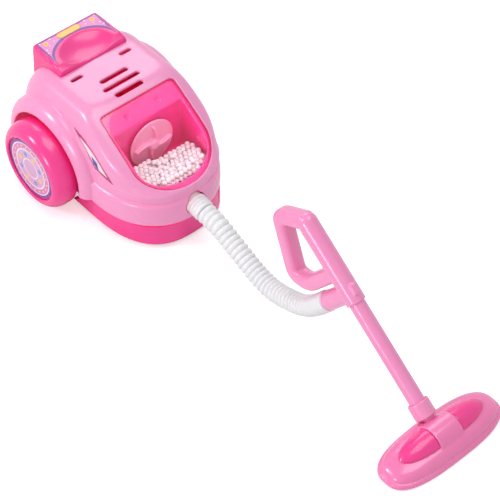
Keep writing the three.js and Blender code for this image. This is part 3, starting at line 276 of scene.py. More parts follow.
# Moulded plastic: slow flow tone, drifting gloss and a fine orange peel
def makeMouldGroup():
    group, inside, outside = newGroup(
        "mouldedSurface",
        [("Tone", "Color", (1, 1, 1, 1)), ("Deep Tone", "Color", (1, 1, 1, 1)), ("Flow Scale", "Float", 30.0),
         ("Gloss", "Float", 0.3), ("Gloss Drift", "Float", 0.06), ("Peel Scale", "Float", 700.0)],
        [("Colour", "Color"), ("Roughness", "Float"), ("Height", "Float")])
    link = group.links.new
    coords = addNode(group, "TexCoord")

    def noise(detail, scale):
        texture = addNode(group, "TexNoise")
        texture.inputs["Detail"].default_value = detail
        link(coords.outputs["Object"], texture.inputs["Vector"])
        link(inside.outputs[scale], texture.inputs["Scale"])
        return texture.outputs["Fac"]

    spread = addNode(group, "MapRange", interpolation_type="SMOOTHERSTEP")
    setInputs(spread, {"From Min": 0.1, "From Max": 0.9})
    link(noise(1, "Flow Scale"), spread.inputs["Value"])
    blend = addNode(group, "Mix", data_type="RGBA")
    link(spread.outputs["Result"], blend.inputs["Factor"])
    link(inside.outputs["Tone"], blend.inputs["A"])
    link(inside.outputs["Deep Tone"], blend.inputs["B"])
    link(blend.outputs["Result"], outside.inputs["Colour"])
    drift = mathNode(group, "MULTIPLY", spread.outputs["Result"], inside.outputs["Gloss Drift"])
    link(mathNode(group, "ADD", drift, inside.outputs["Gloss"]), outside.inputs["Roughness"])
    link(noise(2, "Peel Scale"), outside.inputs["Height"])
    return group


mouldGroup = makeMouldGroup()


def newMaterial(name):
    material = bpy.data.materials.new(name)
    material.use_nodes = True
    tree = material.node_tree
    return material, tree, tree.nodes["Principled BSDF"]


def mouldedPlastic(name, s):
    material, tree, shader = newMaterial(name)
    surface = addNode(tree, "Group", node_tree=mouldGroup)
    setInputs(surface, {
        "Tone": (*s["tone"], 1), "Deep Tone": (*s["deep"], 1), "Flow Scale": 30, "Gloss": s["gloss"],
        "Gloss Drift": s.get("drift", 0.05), "Peel Scale": s.get("peel", 700)})
    tree.links.new(surface.outputs["Colour"], shader.inputs["Base Color"])
    tree.links.new(surface.outputs["Roughness"], shader.inputs["Roughness"])
    bump = addNode(tree, "Bump")
    setInputs(bump, {"Strength": s.get("bump", 0.05), "Distance": 0.0002})
    tree.links.new(surface.outputs["Height"], bump.inputs["Height"])
    tree.links.new(bump.outputs["Normal"], shader.inputs["Normal"])
    setInputs(shader, {
        "Metallic": s.get("metal", 0), "Specular IOR Level": 0.6, "Coat Weight": s.get("coat", 0.4),
        "Coat Roughness": 0.16, "Subsurface Weight": s.get("glow", 0),
        "Subsurface Radius": s.get("glowRadius", (1.0, 0.35, 0.5)), "Subsurface Scale": s.get("glowScale", 0.003)})
    if "soak" in s:
        letThrough(tree, shader, s["soak"], s["soakTone"])
    return material


# Clear or thin walls let some tinted light into the housing: only shadow rays pass
def letThrough(tree, shader, share, tone):
    through = addNode(tree, "BsdfTransparent")
    through.inputs["Color"].default_value = (*tone, 1)
    path = addNode(tree, "LightPath")
    mix = addNode(tree, "MixShader")
    tree.links.new(mathNode(tree, "MULTIPLY", path.outputs["Is Shadow Ray"], share), mix.inputs["Fac"])
    tree.links.new(shader.outputs["BSDF"], mix.inputs[1])
    tree.links.new(through.outputs["BSDF"], mix.inputs[2])
    tree.links.new(mix.outputs["Shader"], tree.nodes["Material Output"].inputs["Surface"])


def clearPlastic(name):
    material, tree, shader = newMaterial(name)
    setInputs(shader, {"Base Color": (*rgb(255, 246, 250), 1), "Roughness": 0.04, "IOR": 1.3, "Transmission Weight": 1})
    letThrough(tree, shader, 1, (1, 1, 1))
    return material


def rgb(*values):
    shares = [value / 255 for value in values]
    return tuple(v / 12.92 if v <= 0.04045 else ((v + 0.055) / 1.055) ** 2.4 for v in shares)


def finish(tone, deep, gloss, **more):
    return {"tone": rgb(*tone), "deep": rgb(*deep), "gloss": gloss, **more}


finishes = {
    "pale_pink": finish((254, 160, 209), (253, 154, 205), 0.25, glow=0.15, soak=0.95, soakTone=rgb(255, 150, 178)),
    "wand_pink": finish((254, 150, 202), (253, 144, 198), 0.23, glow=0.15, coat=0.5),
    "head_pink": finish((254, 128, 188), (252, 121, 183), 0.22, glow=0.15, coat=0.6),
    "hot_pink": finish((255, 52, 152), (252, 42, 144), 0.23, glow=0.15),
    "fan_pink": finish((255, 164, 200), (253, 154, 193), 0.3, glow=0.2),
    # Painted shade: dark rose for the window pane's cut edge, standing in for the shaded gap and the pink flange seen
    # through the clear edge
    "painted_rim_shade": finish((226, 44, 104), (214, 36, 96), 0.3),
    "white_plastic": finish((242, 241, 240), (236, 235, 234), 0.32, glow=0.1),
    "white_hose": finish((244, 244, 246), (238, 238, 241), 0.34, glow=0.15),
    "foam_bead": finish((255, 238, 241), (252, 230, 234), 0.75, glow=0.9, glowRadius=(1.0, 0.8, 0.85),
                        glowScale=0.005, coat=0, peel=1600, bump=0.3),
    "steel": finish((190, 192, 198), (168, 170, 176), 0.28, drift=0.15, metal=1, coat=0),
    "contact_brass": finish((214, 178, 104), (196, 160, 90), 0.3, drift=0.15, metal=1, coat=0),
    "black_plastic": finish((36, 36, 40), (28, 28, 32), 0.45, coat=0.05),
    "cell_jacket": finish((58, 108, 62), (48, 94, 54), 0.3),
}
inkTones = {
    "print_white": ((248, 238, 246), (242, 230, 240)),
    "print_lilac": ((226, 170, 214), (216, 160, 206)),
    "print_pink": ((232, 128, 180), (224, 116, 172)),
    "print_purple": ((118, 50, 168), (110, 44, 160)),
    "print_rose": ((240, 140, 206), (234, 128, 198)),
    "print_orange": ((226, 140, 66), (216, 128, 58)),
    "print_wine": ((196, 52, 112), (184, 44, 102)),
    "print_blue": ((104, 160, 226), (94, 150, 218)),
    "print_navy": ((52, 88, 178), (46, 78, 166)),
    "print_yellow": ((250, 208, 92), (244, 198, 80)),
}
finishes.update({name: finish(*tones, 0.35) for name, tones in inkTones.items()})
plastic = {name: mouldedPlastic(name, s) for name, s in finishes.items()}
plastic["clear_plastic"] = clearPlastic("clear_plastic")
print("finishes mixed:", len(plastic))


# Plates of several inks gathered into one printed piece

def newSheet(inks):
    return {"inks": inks, "points": [], "faces": [], "marks": []}


def addFaces(sheet, points, faces, inks):
    first = len(sheet["points"])
    sheet["points"] += points
    sheet["faces"] += [tuple(first + i for i in face) for face in faces]
    sheet["marks"] += [sheet["inks"].index(ink) for ink in inks]


def laySheet(name, sheet, place, body, stands=()):
    inks = sheet["inks"]
    piece = pieceFrom(name, sheet["points"], sheet["faces"], place)
    dress(piece, inks[0], body, stands)
    for ink in inks[1:]:
        piece.data.materials.append(plastic[ink])
    piece.data.polygons.foreach_set("material_index", sheet["marks"])
    return piece


# Ribbed hose, from the outlet to the connector below the handle

hose = Settings(
    outlet=(91.5, 26.3), outletDrop=9.0, gap=0.3, straight=12.4,
    route=[(113.0, 20.4), (121.5, 17.0), (130.0, 13.6), (138.5, 10.8), (147.0, 9.5), (155.0, 10.4),
              (163.0, 12.9), (171.0, 16.2), (178.5, 21.2)],
    connector=(-6.4, -24.4),
    crest=6.2, valley=4.95, bore=4.3, pitchAtOutlet=3.7, pitchAtWand=2.3, crownPower=0.55,
    sides=40, steps=10, lineSteps=900, pathStep=15,
)


def hosePoints(s):
    drop = math.radians(s.outletDrop)
    axis = Vector((math.cos(drop), 0, -math.sin(drop)))
    start = Vector((s.outlet[0], 0, s.outlet[1]))
    runs = (s.gap, s.straight / 2, s.straight)
    points = [start + axis * run for run in runs]
    points += [Vector((x, 0, z)) for x, z in s.route]
    along, square = s.connector
    return points + [wandPlace @ Vector((along, 0, square - run)) for run in reversed(runs)]


def makeHose(s):
    line, length = smoothLine(hosePoints(s), s.lineSteps)
    pitch = (s.pitchAtOutlet + s.pitchAtWand) / 2
    ribs = round(length / pitch)
    stretch = (s.pitchAtOutlet - s.pitchAtWand) / (2 * pitch)

    def ringAt(share, radius):
        run = min(1, share + stretch * share * (1 - share)) * (len(line) - 1)
        low = min(int(run), len(line) - 2)
        middle = line[low].lerp(line[low + 1], run - low)
        ahead = (line[min(low + 2, len(line) - 1)] - line[max(low - 1, 0)]).normalized()
        up = ahead.cross(across).normalized()
        return [middle + across * radius * cos + up * radius * sin for cos, sin in around(s.sides)]

    rings = []
    total = ribs * s.steps
    for k in range(total + 1):
        phase = k % s.steps / s.steps
        crown = abs(math.sin(math.pi * phase)) ** s.crownPower
        rings.append(ringAt(k / total, s.valley + (s.crest - s.valley) * crown))
    for k in range(ribs, -1, -1):
        rings.append(ringAt(k / ribs, s.bore))
    piece = pieceFrom("hoseRibbed", *ringSkin(rings, closed=True))
    smoothOver(piece, 60)
    dress(piece, "white_hose", stands=["hose"])
    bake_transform(piece)
    print("hose drawn:", ribs, "ribs,", round(length, 1), "mm")


makeHose(hose)


# Solids drawn finely, joined and cut, then melted to soft moulded edges

def settle(piece):
    graph = bpy.context.evaluated_depsgraph_get()
    mesh = bpy.data.meshes.new_from_object(piece.evaluated_get(graph))
    old = piece.data
    piece.modifiers.clear()
    piece.data = mesh
    bpy.data.meshes.remove(old)
    return piece


def shaped(base, operation, tools):
    for tool in tools:
        step = base.modifiers.new("step", "BOOLEAN")
        step.operation = operation
        step.solver = "MANIFOLD"
        step.object = tool
    settle(base)
    for tool in tools:
        bpy.data.objects.remove(tool)
    return base


def joined(base, *tools):
    return shaped(base, "UNION", tools)


def carved(base, *tools):
    return shaped(base, "DIFFERENCE", tools)


def within(base, *tools):
    return shaped(base, "INTERSECT", tools)


# Grain in millimetres, rounds of smoothing, and the share of faces that is kept
def melted(piece, grain, rounds, keep=1.0):
    remesh = piece.modifiers.new("melt", "REMESH")
    remesh.mode = "VOXEL"
    remesh.voxel_size = grain / 1000
    soften = piece.modifiers.new("soften", "SMOOTH")
    soften.factor = 0.5
    soften.iterations = rounds
    if keep < 1:
        thin = piece.modifiers.new("thin", "DECIMATE")
        thin.ratio = keep
    settle(piece)
    piece.data.shade_smooth()


def prismPiece(name, outline, place, low, high):
    return loft(name, [[(x, y, z) for x, y in outline] for z in (low, high)], place)


def boxPiece(name, x0, x1, y0, y1, z0, z1):
    return prismPiece(name, [(x0, y0), (x1, y0), (x1, y1), (x0, y1)], Matrix(), z0, z1)


# A profile of (radius, along) points turned about its place's Z axis; one that starts on the axis is solid
def turnedPiece(name, profile, place, sides=128):
    rings = [[(radius * c, radius * s, along) for c, s in around(sides)] for radius, along in profile]
    if profile[0][0] == 0:
        return loft(name, rings[1:-1], place)
    return pieceFrom(name, *ringSkin(rings, closed=True), place)


def bar(name, radius, place, low, high, sides=128):
    return turnedPiece(name, [(0, low), (radius, low), (radius, high), (0, high)], place, sides)


def bezier(start, bend, end, steps):
    line = []
    for k in range(steps + 1):
        t = k / steps
        line.append(tuple(a * (1 - t) ** 2 + 2 * b * t * (1 - t) + c * t * t for a, b, c in zip(start, bend, end)))
    return line


# Cover form

cover = Settings(
    skirtBottom=18.0, skirtTop=33.8, skirtHalf=38.2, skirtFront=83.8, skirtRear=-41.1,
    skirtNose=46, skirtSquare=2.25, skirtEdge=0.7,
    creaseHeight=1.1, creaseDepth=1.5, grooveDepth=0.7, grooveRise=0.4,
    roofHeight=77.0, roofHalf=16, roofFront=10, roofRear=-14,
    sideRound=4.4, rearRound=2.2, browRound=14,
    noseByRise=[(0, 46), (0.2, 53), (0.49, 29), (0.75, 20), (1, 15)],
    squareByRise=[(0, 2.25), (0.2, 3.0), (0.49, 5.0), (1, 5.0)],
    tail=20, tailSquare=2.6, wall=2.0, insideFoot=-12.0, slotBelow=8, slotAbove=4,
    sides=208, domeRings=64, skirtRings=8, ringPower=1.9, melt=(0.48, 5, 0.5),
)
window = Settings(
    topX=33.8, topZ=74.4, slope=34.7, topHalf=26.4, half=27.0, straight=34.0, length=57.5,
    corner=3.5, cornerSteps=8, arcSteps=48, cutBack=12, cutOut=30, sunk=0.5, thickness=1.5,
    play=0.3, sheet=[(-40, 20), (40, 20), (40, -80), (-40, -80)],
)
windowSlope = math.radians(window.slope)


def planRing(z, front, rear, half, nose, tail, frontPower, rearPower):
    fit = min(1, (front - rear) / (nose + tail))
    ring = []
    for c, s in around(cover.sides, 0.5):
        power = frontPower if c > 0 else rearPower
        reach = abs(c) ** (2 / power)
        x = front - fit * nose * (1 - reach) if c > 0 else rear + fit * tail * (1 - reach)
        ring.append(Vector((x, half * squared(s, power), z)))
    return ring


def tableAt(table, rise):
    rise = min(1, max(0, rise))
    for (from_, first), (to, last) in zip(table, table[1:]):
        if rise <= to:
            return first + (last - first) * (rise - from_) / (to - from_)
    return table[-1][1]


def softTableAt(table, rise, spread=0.07, samples=9):
    steps = [spread * (2 * k / (samples - 1) - 1) for k in range(samples)]
    return sum(tableAt(table, rise + step) for step in steps) / samples


def eased(inner, outer, rise, power):
    return inner + (outer - inner) * (1 - rise ** power) ** (1 / power)


def coverRings():
    c = cover
    rings = []

    def skirtRing(z, inset):
        rings.append(planRing(z, c.skirtFront - inset, c.skirtRear + inset, c.skirtHalf - inset,
                              c.skirtNose, c.tail, c.skirtSquare, c.tailSquare))

    edge, crease = c.skirtEdge, c.creaseDepth
    skirtRing(c.skirtBottom, edge)
    low, high = c.skirtBottom + edge, c.skirtTop - 2 * edge
    for k in range(c.skirtRings + 1):
        t = k / c.skirtRings
        skirtRing(low + (high - low) * t, -2 * edge * t * (1 - t))
    skirtRing(c.skirtTop, edge)
    skirtRing(c.skirtTop + c.creaseHeight * c.grooveRise, crease + c.grooveDepth)
    foot = c.skirtTop + c.creaseHeight
    rise = c.roofHeight - foot
    for k in range(c.domeRings + 1):
        share = 1 - (1 - k / c.domeRings) ** c.ringPower
        z = foot + rise * share
        slope = window.topX + (window.topZ - z) / math.tan(windowSlope)
        rings.append(planRing(
            z, eased(c.roofFront, min(slope, c.skirtFront - crease), share, c.browRound),
            eased(c.roofRear, c.skirtRear + crease, share, c.rearRound),
            eased(c.roofHalf, c.skirtHalf - crease, share, c.sideRound),
            softTableAt(c.noseByRise, share), c.tail, softTableAt(c.squareByRise, share), c.tailSquare))
    middle = Vector(((c.roofFront + c.roofRear) / 2, 0, c.roofHeight))
    rings.append([p.lerp(middle, 0.5) for p in rings[-1]])
    return rings


outerRings = coverRings()


# The cover's outside moved in by an inset, with a foot below it for tools that cut right through
def coverForm(name, inset, foot=None):
    count = cover.sides
    rings = []
    for r, ring in enumerate(outerRings):
        below, above = outerRings[max(0, r - 1)], outerRings[min(len(outerRings) - 1, r + 1)]
        moved = []
        for i, point in enumerate(ring):
            normal = (ring[(i + 1) % count] - ring[i - 1]).cross(above[i] - below[i])
            if r == 0:
                normal.z = 0
            if r >= len(outerRings) - 2:
                normal = Vector((0, 0, 1))
            moved.append(point - normal.normalized() * inset)
        rings.append(moved)
    if foot is not None:
        rings.insert(0, [Vector((p.x, p.y, foot)) for p in rings[0]])
    return loft(name, rings)


def windowOutline(grow):
    w = window
    top, half, corner, steps = w.topHalf + grow, w.half + grow, w.corner, w.cornerSteps
    reach = w.length - w.straight + grow
    outline = bezier((top - corner, grow), (top, grow), (top, grow - corner), steps)
    outline += [(half * c, -w.straight + reach * s) for c, s in arcOf(0, -math.pi, w.arcSteps)]
    return outline + bezier((-top, grow - corner), (-top, grow), (-top + corner, grow), steps)


upSlope = Vector((-math.cos(windowSlope), 0, math.sin(windowSlope)))
windowPlace = Matrix((across, upSlope, across.cross(upSlope))).transposed().to_4x4()
windowPlace.translation = (window.topX, 0, window.topZ)


def windowPrism(name, grow):
    return prismPiece(name, windowOutline(grow)[::-1], windowPlace, -window.cutBack, window.cutOut)


def slotOutline(length, width, steps=16):
    reach = (length - width) / 2
    outline = []
    for end, start in ((reach, -math.pi / 2), (-reach, math.pi / 2)):
        outline += [(end + width / 2 * c, width / 2 * s) for c, s in arcOf(start, start + math.pi, steps)]
    return outline


def roofSlot(name, length, width, x, y):
    low, high = cover.roofHeight - cover.slotBelow, cover.roofHeight + cover.slotAbove
    return prismPiece(name, slotOutline(length, width), shift(x, y, 0) @ spin(90, "Z"), low, high)


arch = Settings(
    axleZ=27.6, radius=30.7, lip=43.2, band=7.9, inner=32.8, cutBack=1.0, endHeight=20.0,
    foot=1.0, lipEdge=0.6, sides=160,
    shoulder=[(0.1, 0), (0.35, 0.5), (0.55, 1.25), (0.72, 2.4), (0.85, 3.6), (0.94, 5.0), (1, 8.0)],
)
vents = Settings(x=20.5, pitch=6.9, width=3.0, halves=(9.8, 12.7, 9.8))
notches = Settings(x=1.9, y=17.4, length=8.2, width=2.6)
outlet = Settings(
    x=91.5, z=26.3, drop=9.0, radius=6.5, valley=5.9, ribs=4, ribSteps=10, crownPower=0.6,
    ribbed=9.0, length=12.0, bore=4.2, room=0.3, cutBack=15, cutOut=1,
)
outletPlace = shift(outlet.x, 0, outlet.z) @ spin(90 + outlet.drop, "Y")
blade = Settings(
    depth=1.1, rear=(19.0, 64.5), bulge=(42.0, 61.0), front=(54.5, 41.5), heel=(38.8, 45.0),
    hollow=(31.0, 56.0), heart=(39.0, 51.5), steps=24, reach=60, printTop=0.62, print=0.1,
    fields=[("print_wine", 0.97), ("print_white", 0.66)],
    gem=[(36.6, 53.0), (38.4, 48.2), (42.6, 46.4), (41.2, 51.2)],
)


def wheelAxis(side):
    return shift(0, 0, arch.axleZ) @ mirrored(side) @ alongY


def archBand(side):
    a = arch
    rim, out = a.radius - a.foot, a.radius + a.band
    profile = [(rim, a.inner), (rim, a.lip - a.lipEdge)]
    profile += [(a.radius + share * a.band, a.lip - back) for share, back in a.shoulder]
    band = turnedPiece("archBand", profile + [(out, a.inner)], wheelAxis(side), a.sides)
    return carved(band, boxPiece("archTrim", -farOut, farOut, -farOut, farOut, -farOut, a.endHeight))


def bladeOutline(share=1.0):
    b = blade
    line = bezier(b.rear, b.bulge, b.front, b.steps)
    line += bezier(b.heel, b.hollow, b.rear, b.steps)[:-1]
    return [tuple(Vector(b.heart).lerp(Vector(p), share)) for p in line]


def sidePrism(name, side, outline):
    return prismPiece(name, outline, mirrored(-side) @ standing, 0, blade.reach)


def makeBladePrint(name, side):
    b = blade
    prints = [(ink, bladeOutline(share)) for ink, share in b.fields] + [("print_navy", b.gem)]
    for layer, (ink, outline) in enumerate(prints):
        plate = coverForm("bladePrint%d_%s" % (layer, name), b.printTop - b.print * layer)
        carved(plate, coverForm("printFloor", b.depth + b.print, farBelow))
        within(plate, sidePrism("printEdge", side, outline))
        smoothOver(plate, 40)
        dress(plate, ink, "canister")


def makeCover():
    shell = coverForm("coverShell", 0)
    for side in (1, -1):
        joined(shell, archBand(side))
        recess = sidePrism("bladeCut", side, bladeOutline())
        carved(recess, coverForm("bladeFloor", blade.depth))
        carved(shell, recess)
    carved(shell, coverForm("coverInside", cover.wall, cover.insideFoot))
    n, v, o = notches, vents, outlet
    for side in (1, -1):
        room = arch.inner - arch.cutBack
        carved(shell, bar("wheelRoom", arch.radius, wheelAxis(side), room, farOut, arch.sides))
        carved(shell, roofSlot("notch", n.length, n.width, n.x, side * n.y))
    for row, half in zip((-1, 0, 1), v.halves):
        carved(shell, roofSlot("vent", 2 * half, v.width, v.x + row * v.pitch, 0))
    carved(shell, windowPrism("windowCut", 0))
    carved(shell, bar("outletCut", o.radius + o.room, outletPlace, -o.cutBack, o.cutOut))
    melted(shell, *cover.melt)
    dress(shell, "pale_pink", "canister", ["upper_cover"])
    print("cover drawn:", len(shell.data.polygons), "faces")


makeCover()
for bladeName, bladeSide in (("left", 1), ("right", -1)):
    makeBladePrint(bladeName, bladeSide)
print("blade prints laid")


# Bead chamber, fan and window

chamber = Settings(
    rear=43.0, floor=30.0, wall=1.5, ledge=3.0, frontLedge=5.5, flangeTop=2.3, flange=1.5,
    overlap=2.0, wallTop=78, roomTop=80, markRadius=1.3, markX=38, markY=11, markDepth=0.9,
    markSides=24, melt=(0.55, 2),
)


def chamberOutline(inset):
    run = math.cos(windowSlope)
    half = window.half - chamber.ledge - inset
    reach = (window.length - window.straight - chamber.frontLedge) * run - inset
    middle = window.topX + window.straight * run
    rear = chamber.rear + inset
    nose = [(middle + reach * c, half * s) for c, s in arcOf(-math.pi / 2, math.pi / 2, window.arcSteps)]
    return [(rear, -half), *nose, (rear, half)]


def makeChamber():
    c = chamber
    tub = coverForm("chamberTub", c.flangeTop)
    carved(tub, coverForm("flangeUnder", c.flangeTop + c.flange, farBelow))
    within(tub, windowPrism("flangeEdge", c.overlap))
    walls = prismPiece("chamberWalls", chamberOutline(-c.wall), Matrix(), c.floor - c.wall, c.wallTop)
    joined(tub, within(walls, coverForm("wallTop", c.flangeTop)))
    carved(tub, prismPiece("chamberRoom", chamberOutline(0), Matrix(), c.floor, c.roomTop))
    for side in (1, -1):
        place = shift(c.markX, side * c.markY, 0)
        mark = bar("ledgeMark", c.markRadius, place, c.floor, c.roomTop, c.markSides)
        carved(tub, carved(mark, coverForm("markFloor", c.flangeTop + c.markDepth)))
    melted(tub, *c.melt)
    dress(tub, "hot_pink", "canister", ["chamber_tub"])
    print("chamber drawn")


makeChamber()

fan = Settings(
    z=46.8, back=43.4, radius=15.4, disc=1.4, lift=0.8, rimIn=0.3, rimDown=0.4, sides=96,
    hub=3.6, hubLength=5.2, hubFoot=0.5, hubNose=1.0,
    vanes=4, vaneHeight=2.6, vaneThick=1.3, vaneSink=0.4, vaneSteps=12,
    vaneLine=[(1.4, 1.0), (3.4, 6.5), (0.4, 12.8)], melt=(0.35, 3),
)


def makeFan():
    f = fan
    middle = shift(0, 0, f.z)
    back, rim, hub, rimIn, rimDown = f.back, f.radius, f.hub, f.rimIn, f.rimDown
    disc0 = back + f.lift
    disc1 = disc0 + f.disc
    front = back + f.hubLength
    blades = turnedPiece("fanWheel", [
        (0, back), (hub, back), (hub, disc0), (rim - rimIn, disc0), (rim, disc0 + rimDown), (rim, disc1 - rimDown),
        (rim - rimIn, disc1), (hub + f.hubFoot, disc1), (hub, disc1 + f.hubFoot), (hub, front - f.hubNose),
        (hub - f.hubNose, front), (0, front)], middle @ alongX, f.sides)
    forward = Matrix(((0, 0, 1, 0), (1, 0, 0, 0), (0, 1, 0, 0), (0, 0, 0, 1)))
    line = bezier(*f.vaneLine, f.vaneSteps)
    outline = [(y - f.vaneThick / 2, z) for y, z in line] + [(y + f.vaneThick / 2, z) for y, z in line[::-1]]
    for i in range(f.vanes):
        stand = middle @ spin(360 * i / f.vanes, "X") @ forward
        joined(blades, prismPiece("vane", outline, stand, disc1 - f.vaneSink, disc1 + f.vaneHeight))
    melted(blades, *f.melt)
    dress(blades, "fan_pink", "fan_rotor", ["fan"])
    print("fan drawn")


makeFan()

beads = Settings(
    radius=1.7, seed=7, rearX=50.5, rearTop=43.0, frontX=77.5, frontTop=44.5, lean=-1.6,
    bed=0.72, packing=0.93, rowGap=0.866, layerGap=0.816, depth=14, rows=24, columns=24,
    firstX=46.5, firstY=-30, stray=0.25, strayUp=0.15, strayTop=0.8, topPower=0.7, half=24,
    wallGap=0.2, paneGap=0.3, rearShare=0.02, sizes=(0.9, 1.0), subdivisions=2,
)


def beadPlaces(b, draw):
    room = chamberOutline(b.radius + b.wallGap)
    sheet = BVHTree.FromPolygons(*windowUnderside())
    stray = b.stray
    step = 2 * b.radius * b.packing
    layerStep = step * b.layerGap
    places = []
    for layer in range(int(b.depth / layerStep) + 1):
        for row in range(b.rows):
            for column in range(b.columns):
                x = b.firstX + (row + 0.5 * (layer % 2)) * step * b.rowGap + draw.uniform(-stray, stray)
                y = b.firstY + (column + 0.5 * ((row + layer) % 2)) * step + draw.uniform(-stray, stray)
                z = chamber.floor + b.radius + layer * layerStep + draw.uniform(-b.strayUp, b.strayUp)
                along = (x - b.rearX) / (b.frontX - b.rearX)
                top = b.rearTop + (b.frontTop - b.rearTop) * min(1, max(0, along)) ** b.topPower
                top += b.lean * y / b.half + draw.uniform(-b.strayTop, b.strayTop)
                if along < b.rearShare or z + b.radius > top or not insideOutline((x, y), room):
                    continue
                place = Vector((x, y, z))
                if sheet.find_nearest(place)[3] >= b.radius + b.paneGap:
                    places.append(place)
    return places


def makeBeads():
    b = beads
    draw = random.Random(b.seed)
    places = beadPlaces(b, draw)
    work = bmesh.new()
    for place in places:
        size = b.radius * draw.uniform(*b.sizes)
        bmesh.ops.create_icosphere(work, subdivisions=b.subdivisions, radius=size, matrix=Matrix.Translation(place))
    bed = nodes["bead_fill"].data.copy()
    floor = shift(0, 0, chamber.floor)
    bed.transform(floor @ Matrix.Scale(b.bed, 4, (0, 0, 1)) @ floor.inverted() @ fromFrame)
    work.from_mesh(bed)  # the beads below, seen through the gaps
    mesh = bpy.data.meshes.new("foamBeads")
    work.to_mesh(mesh)
    bpy.data.meshes.remove(bed)
    work.free()
    mesh.transform(toFrame)
    mesh.shade_smooth()
    dress(newPiece("foamBeads", mesh), "foam_bead", "canister", ["bead_fill"])
    print("beads heaped:", len(places))


def insideOutline(point, outline):
    x, y = point
    inside = False
    for (x0, y0), (x1, y1) in zip(outline, outline[1:] + outline[:1]):
        if (y0 > y) != (y1 > y) and x < x0 + (y - y0) / (y1 - y0) * (x1 - x0):
            inside = not inside
    return inside


# The window's inner face, in millimetres, which the beads lie against
def windowUnderside():
    inset = window.sunk + window.thickness
    return [windowPlace @ Vector((y, z, -inset)) for y, z in window.sheet], [(0, 1, 2, 3)]


makeBeads()


def makeWindow():
    w = window
    pane = coverForm("windowPane", w.sunk)
    carved(pane, coverForm("paneUnder", w.sunk + w.thickness, farBelow))
    within(pane, windowPrism("paneEdge", -w.play))
    smoothOver(pane, 35)
    dress(pane, "clear_plastic", "canister", ["window"])
    # The pane's cut edge gets the dark rose: painted shade of the gap round the pane and of the flange seen through the
    # edge
    pane.data.materials.append(plastic["painted_rim_shade"])
    back = (toFrame @ windowPlace).inverted().to_3x3()
    for face in pane.data.polygons:
        if abs((back @ face.normal).normalized().z) < 0.5:
            face.material_index = 1  # the cut edge, painted dark rose for the gap's shade and the flange seen through it; not the clear faces
    print("window drawn")


makeWindow()


# Rear grip with its finger scoop

grip = Settings(
    top=82.7, rear=-33.0, front=-4.2, foot=57, topFront=-8.6, topDrop=1.3, lip=80.2,
    half=22.6, lipCorner=2.2, lean=1.0, corner=3.0, cornerSteps=8, frontFlare=0.05,
    footFlare=0.103, scoop=(-9.8, 86.8), scoopRadii=(16.5, 22.5, 8.6), scoopTilt=3.0,
    scoopSides=96, seatGap=0.1, melt=(0.5, 60),
)


def gripScoop(g):
    x, z = g.scoop
    place = toFrame @ shift(x, 0, z) @ spin(g.scoopTilt, "Y") @ Matrix.Diagonal((*g.scoopRadii, 1))
    ball = bmesh.new()
    bmesh.ops.create_uvsphere(ball, u_segments=g.scoopSides, v_segments=g.scoopSides // 2, radius=1, matrix=place)
    mesh = bpy.data.meshes.new("gripScoop")
    ball.to_mesh(mesh)
    ball.free()
    return newPiece("gripScoop", mesh)


def makeGrip():
    g = grip
    rear, front, top, lip, steps = g.rear, g.front, g.top, g.lip, g.cornerSteps
    outline = [(rear + g.lean, g.foot)]
    outline += bezier((rear, top - g.corner), (rear, top), (rear + g.corner, top), steps)
    outline += [(g.topFront, top - g.topDrop)]
    outline += bezier((front - g.lipCorner, lip), (front, lip), (front, lip - g.lipCorner), steps)
    outline += [(front, g.foot)]
    block = prismPiece("gripBlock", outline, standing, -g.half, g.half)
    for vertex in block.data.vertices:
        p = fromFrame @ vertex.co
        forward = (p.x - rear) / (front - rear)
        down = (top - p.z) / (top - g.foot)
        p.y *= 1 + g.frontFlare * forward + g.footFlare * down
        vertex.co = toFrame @ p
    carved(block, gripScoop(g))
    melted(block, *g.melt)
    carved(block, coverForm("gripSeat", -g.seatGap))
    smoothOver(block, 40)
    dress(block, "hot_pink", "canister", ["rear_grip"])
    print("grip drawn")
    return block


gripBlock = makeGrip()

gripLabel = Settings(
    rear=-30.6, half=21.2, edge=1.7, rearEdge=0.7, lift=0.1, sink=0.2, steps=160, maxTurn=84,
    bowl=-9.0, bowlRadii=(16.0, 20.8), leastReach=1.02, above=20, weld=0.00001, dotSides=20,
    bands=("print_purple", "print_rose", "print_purple"),
    pill=Settings(x=-27.9, length=15.5, width=3.7,
             layers=[(0.45, 0.05, "print_orange"), (0, 0.1, "print_yellow")]),
    dots=[(-27.4, 16.6, 1.6, 0.05, "print_yellow"), (-27.4, 16.6, 0.65, 0.07, "print_orange")],
    specks=[(-23.0, 19.0, 0.5), (-24.9, 15.6, 0.42), (-29.3, 12.4, 0.5), (-26.6, 11.4, 0.4), (-20.4, 19.9, 0.4),
               (-29.5, 19.6, 0.45)],
    speckLift=0.05,
)


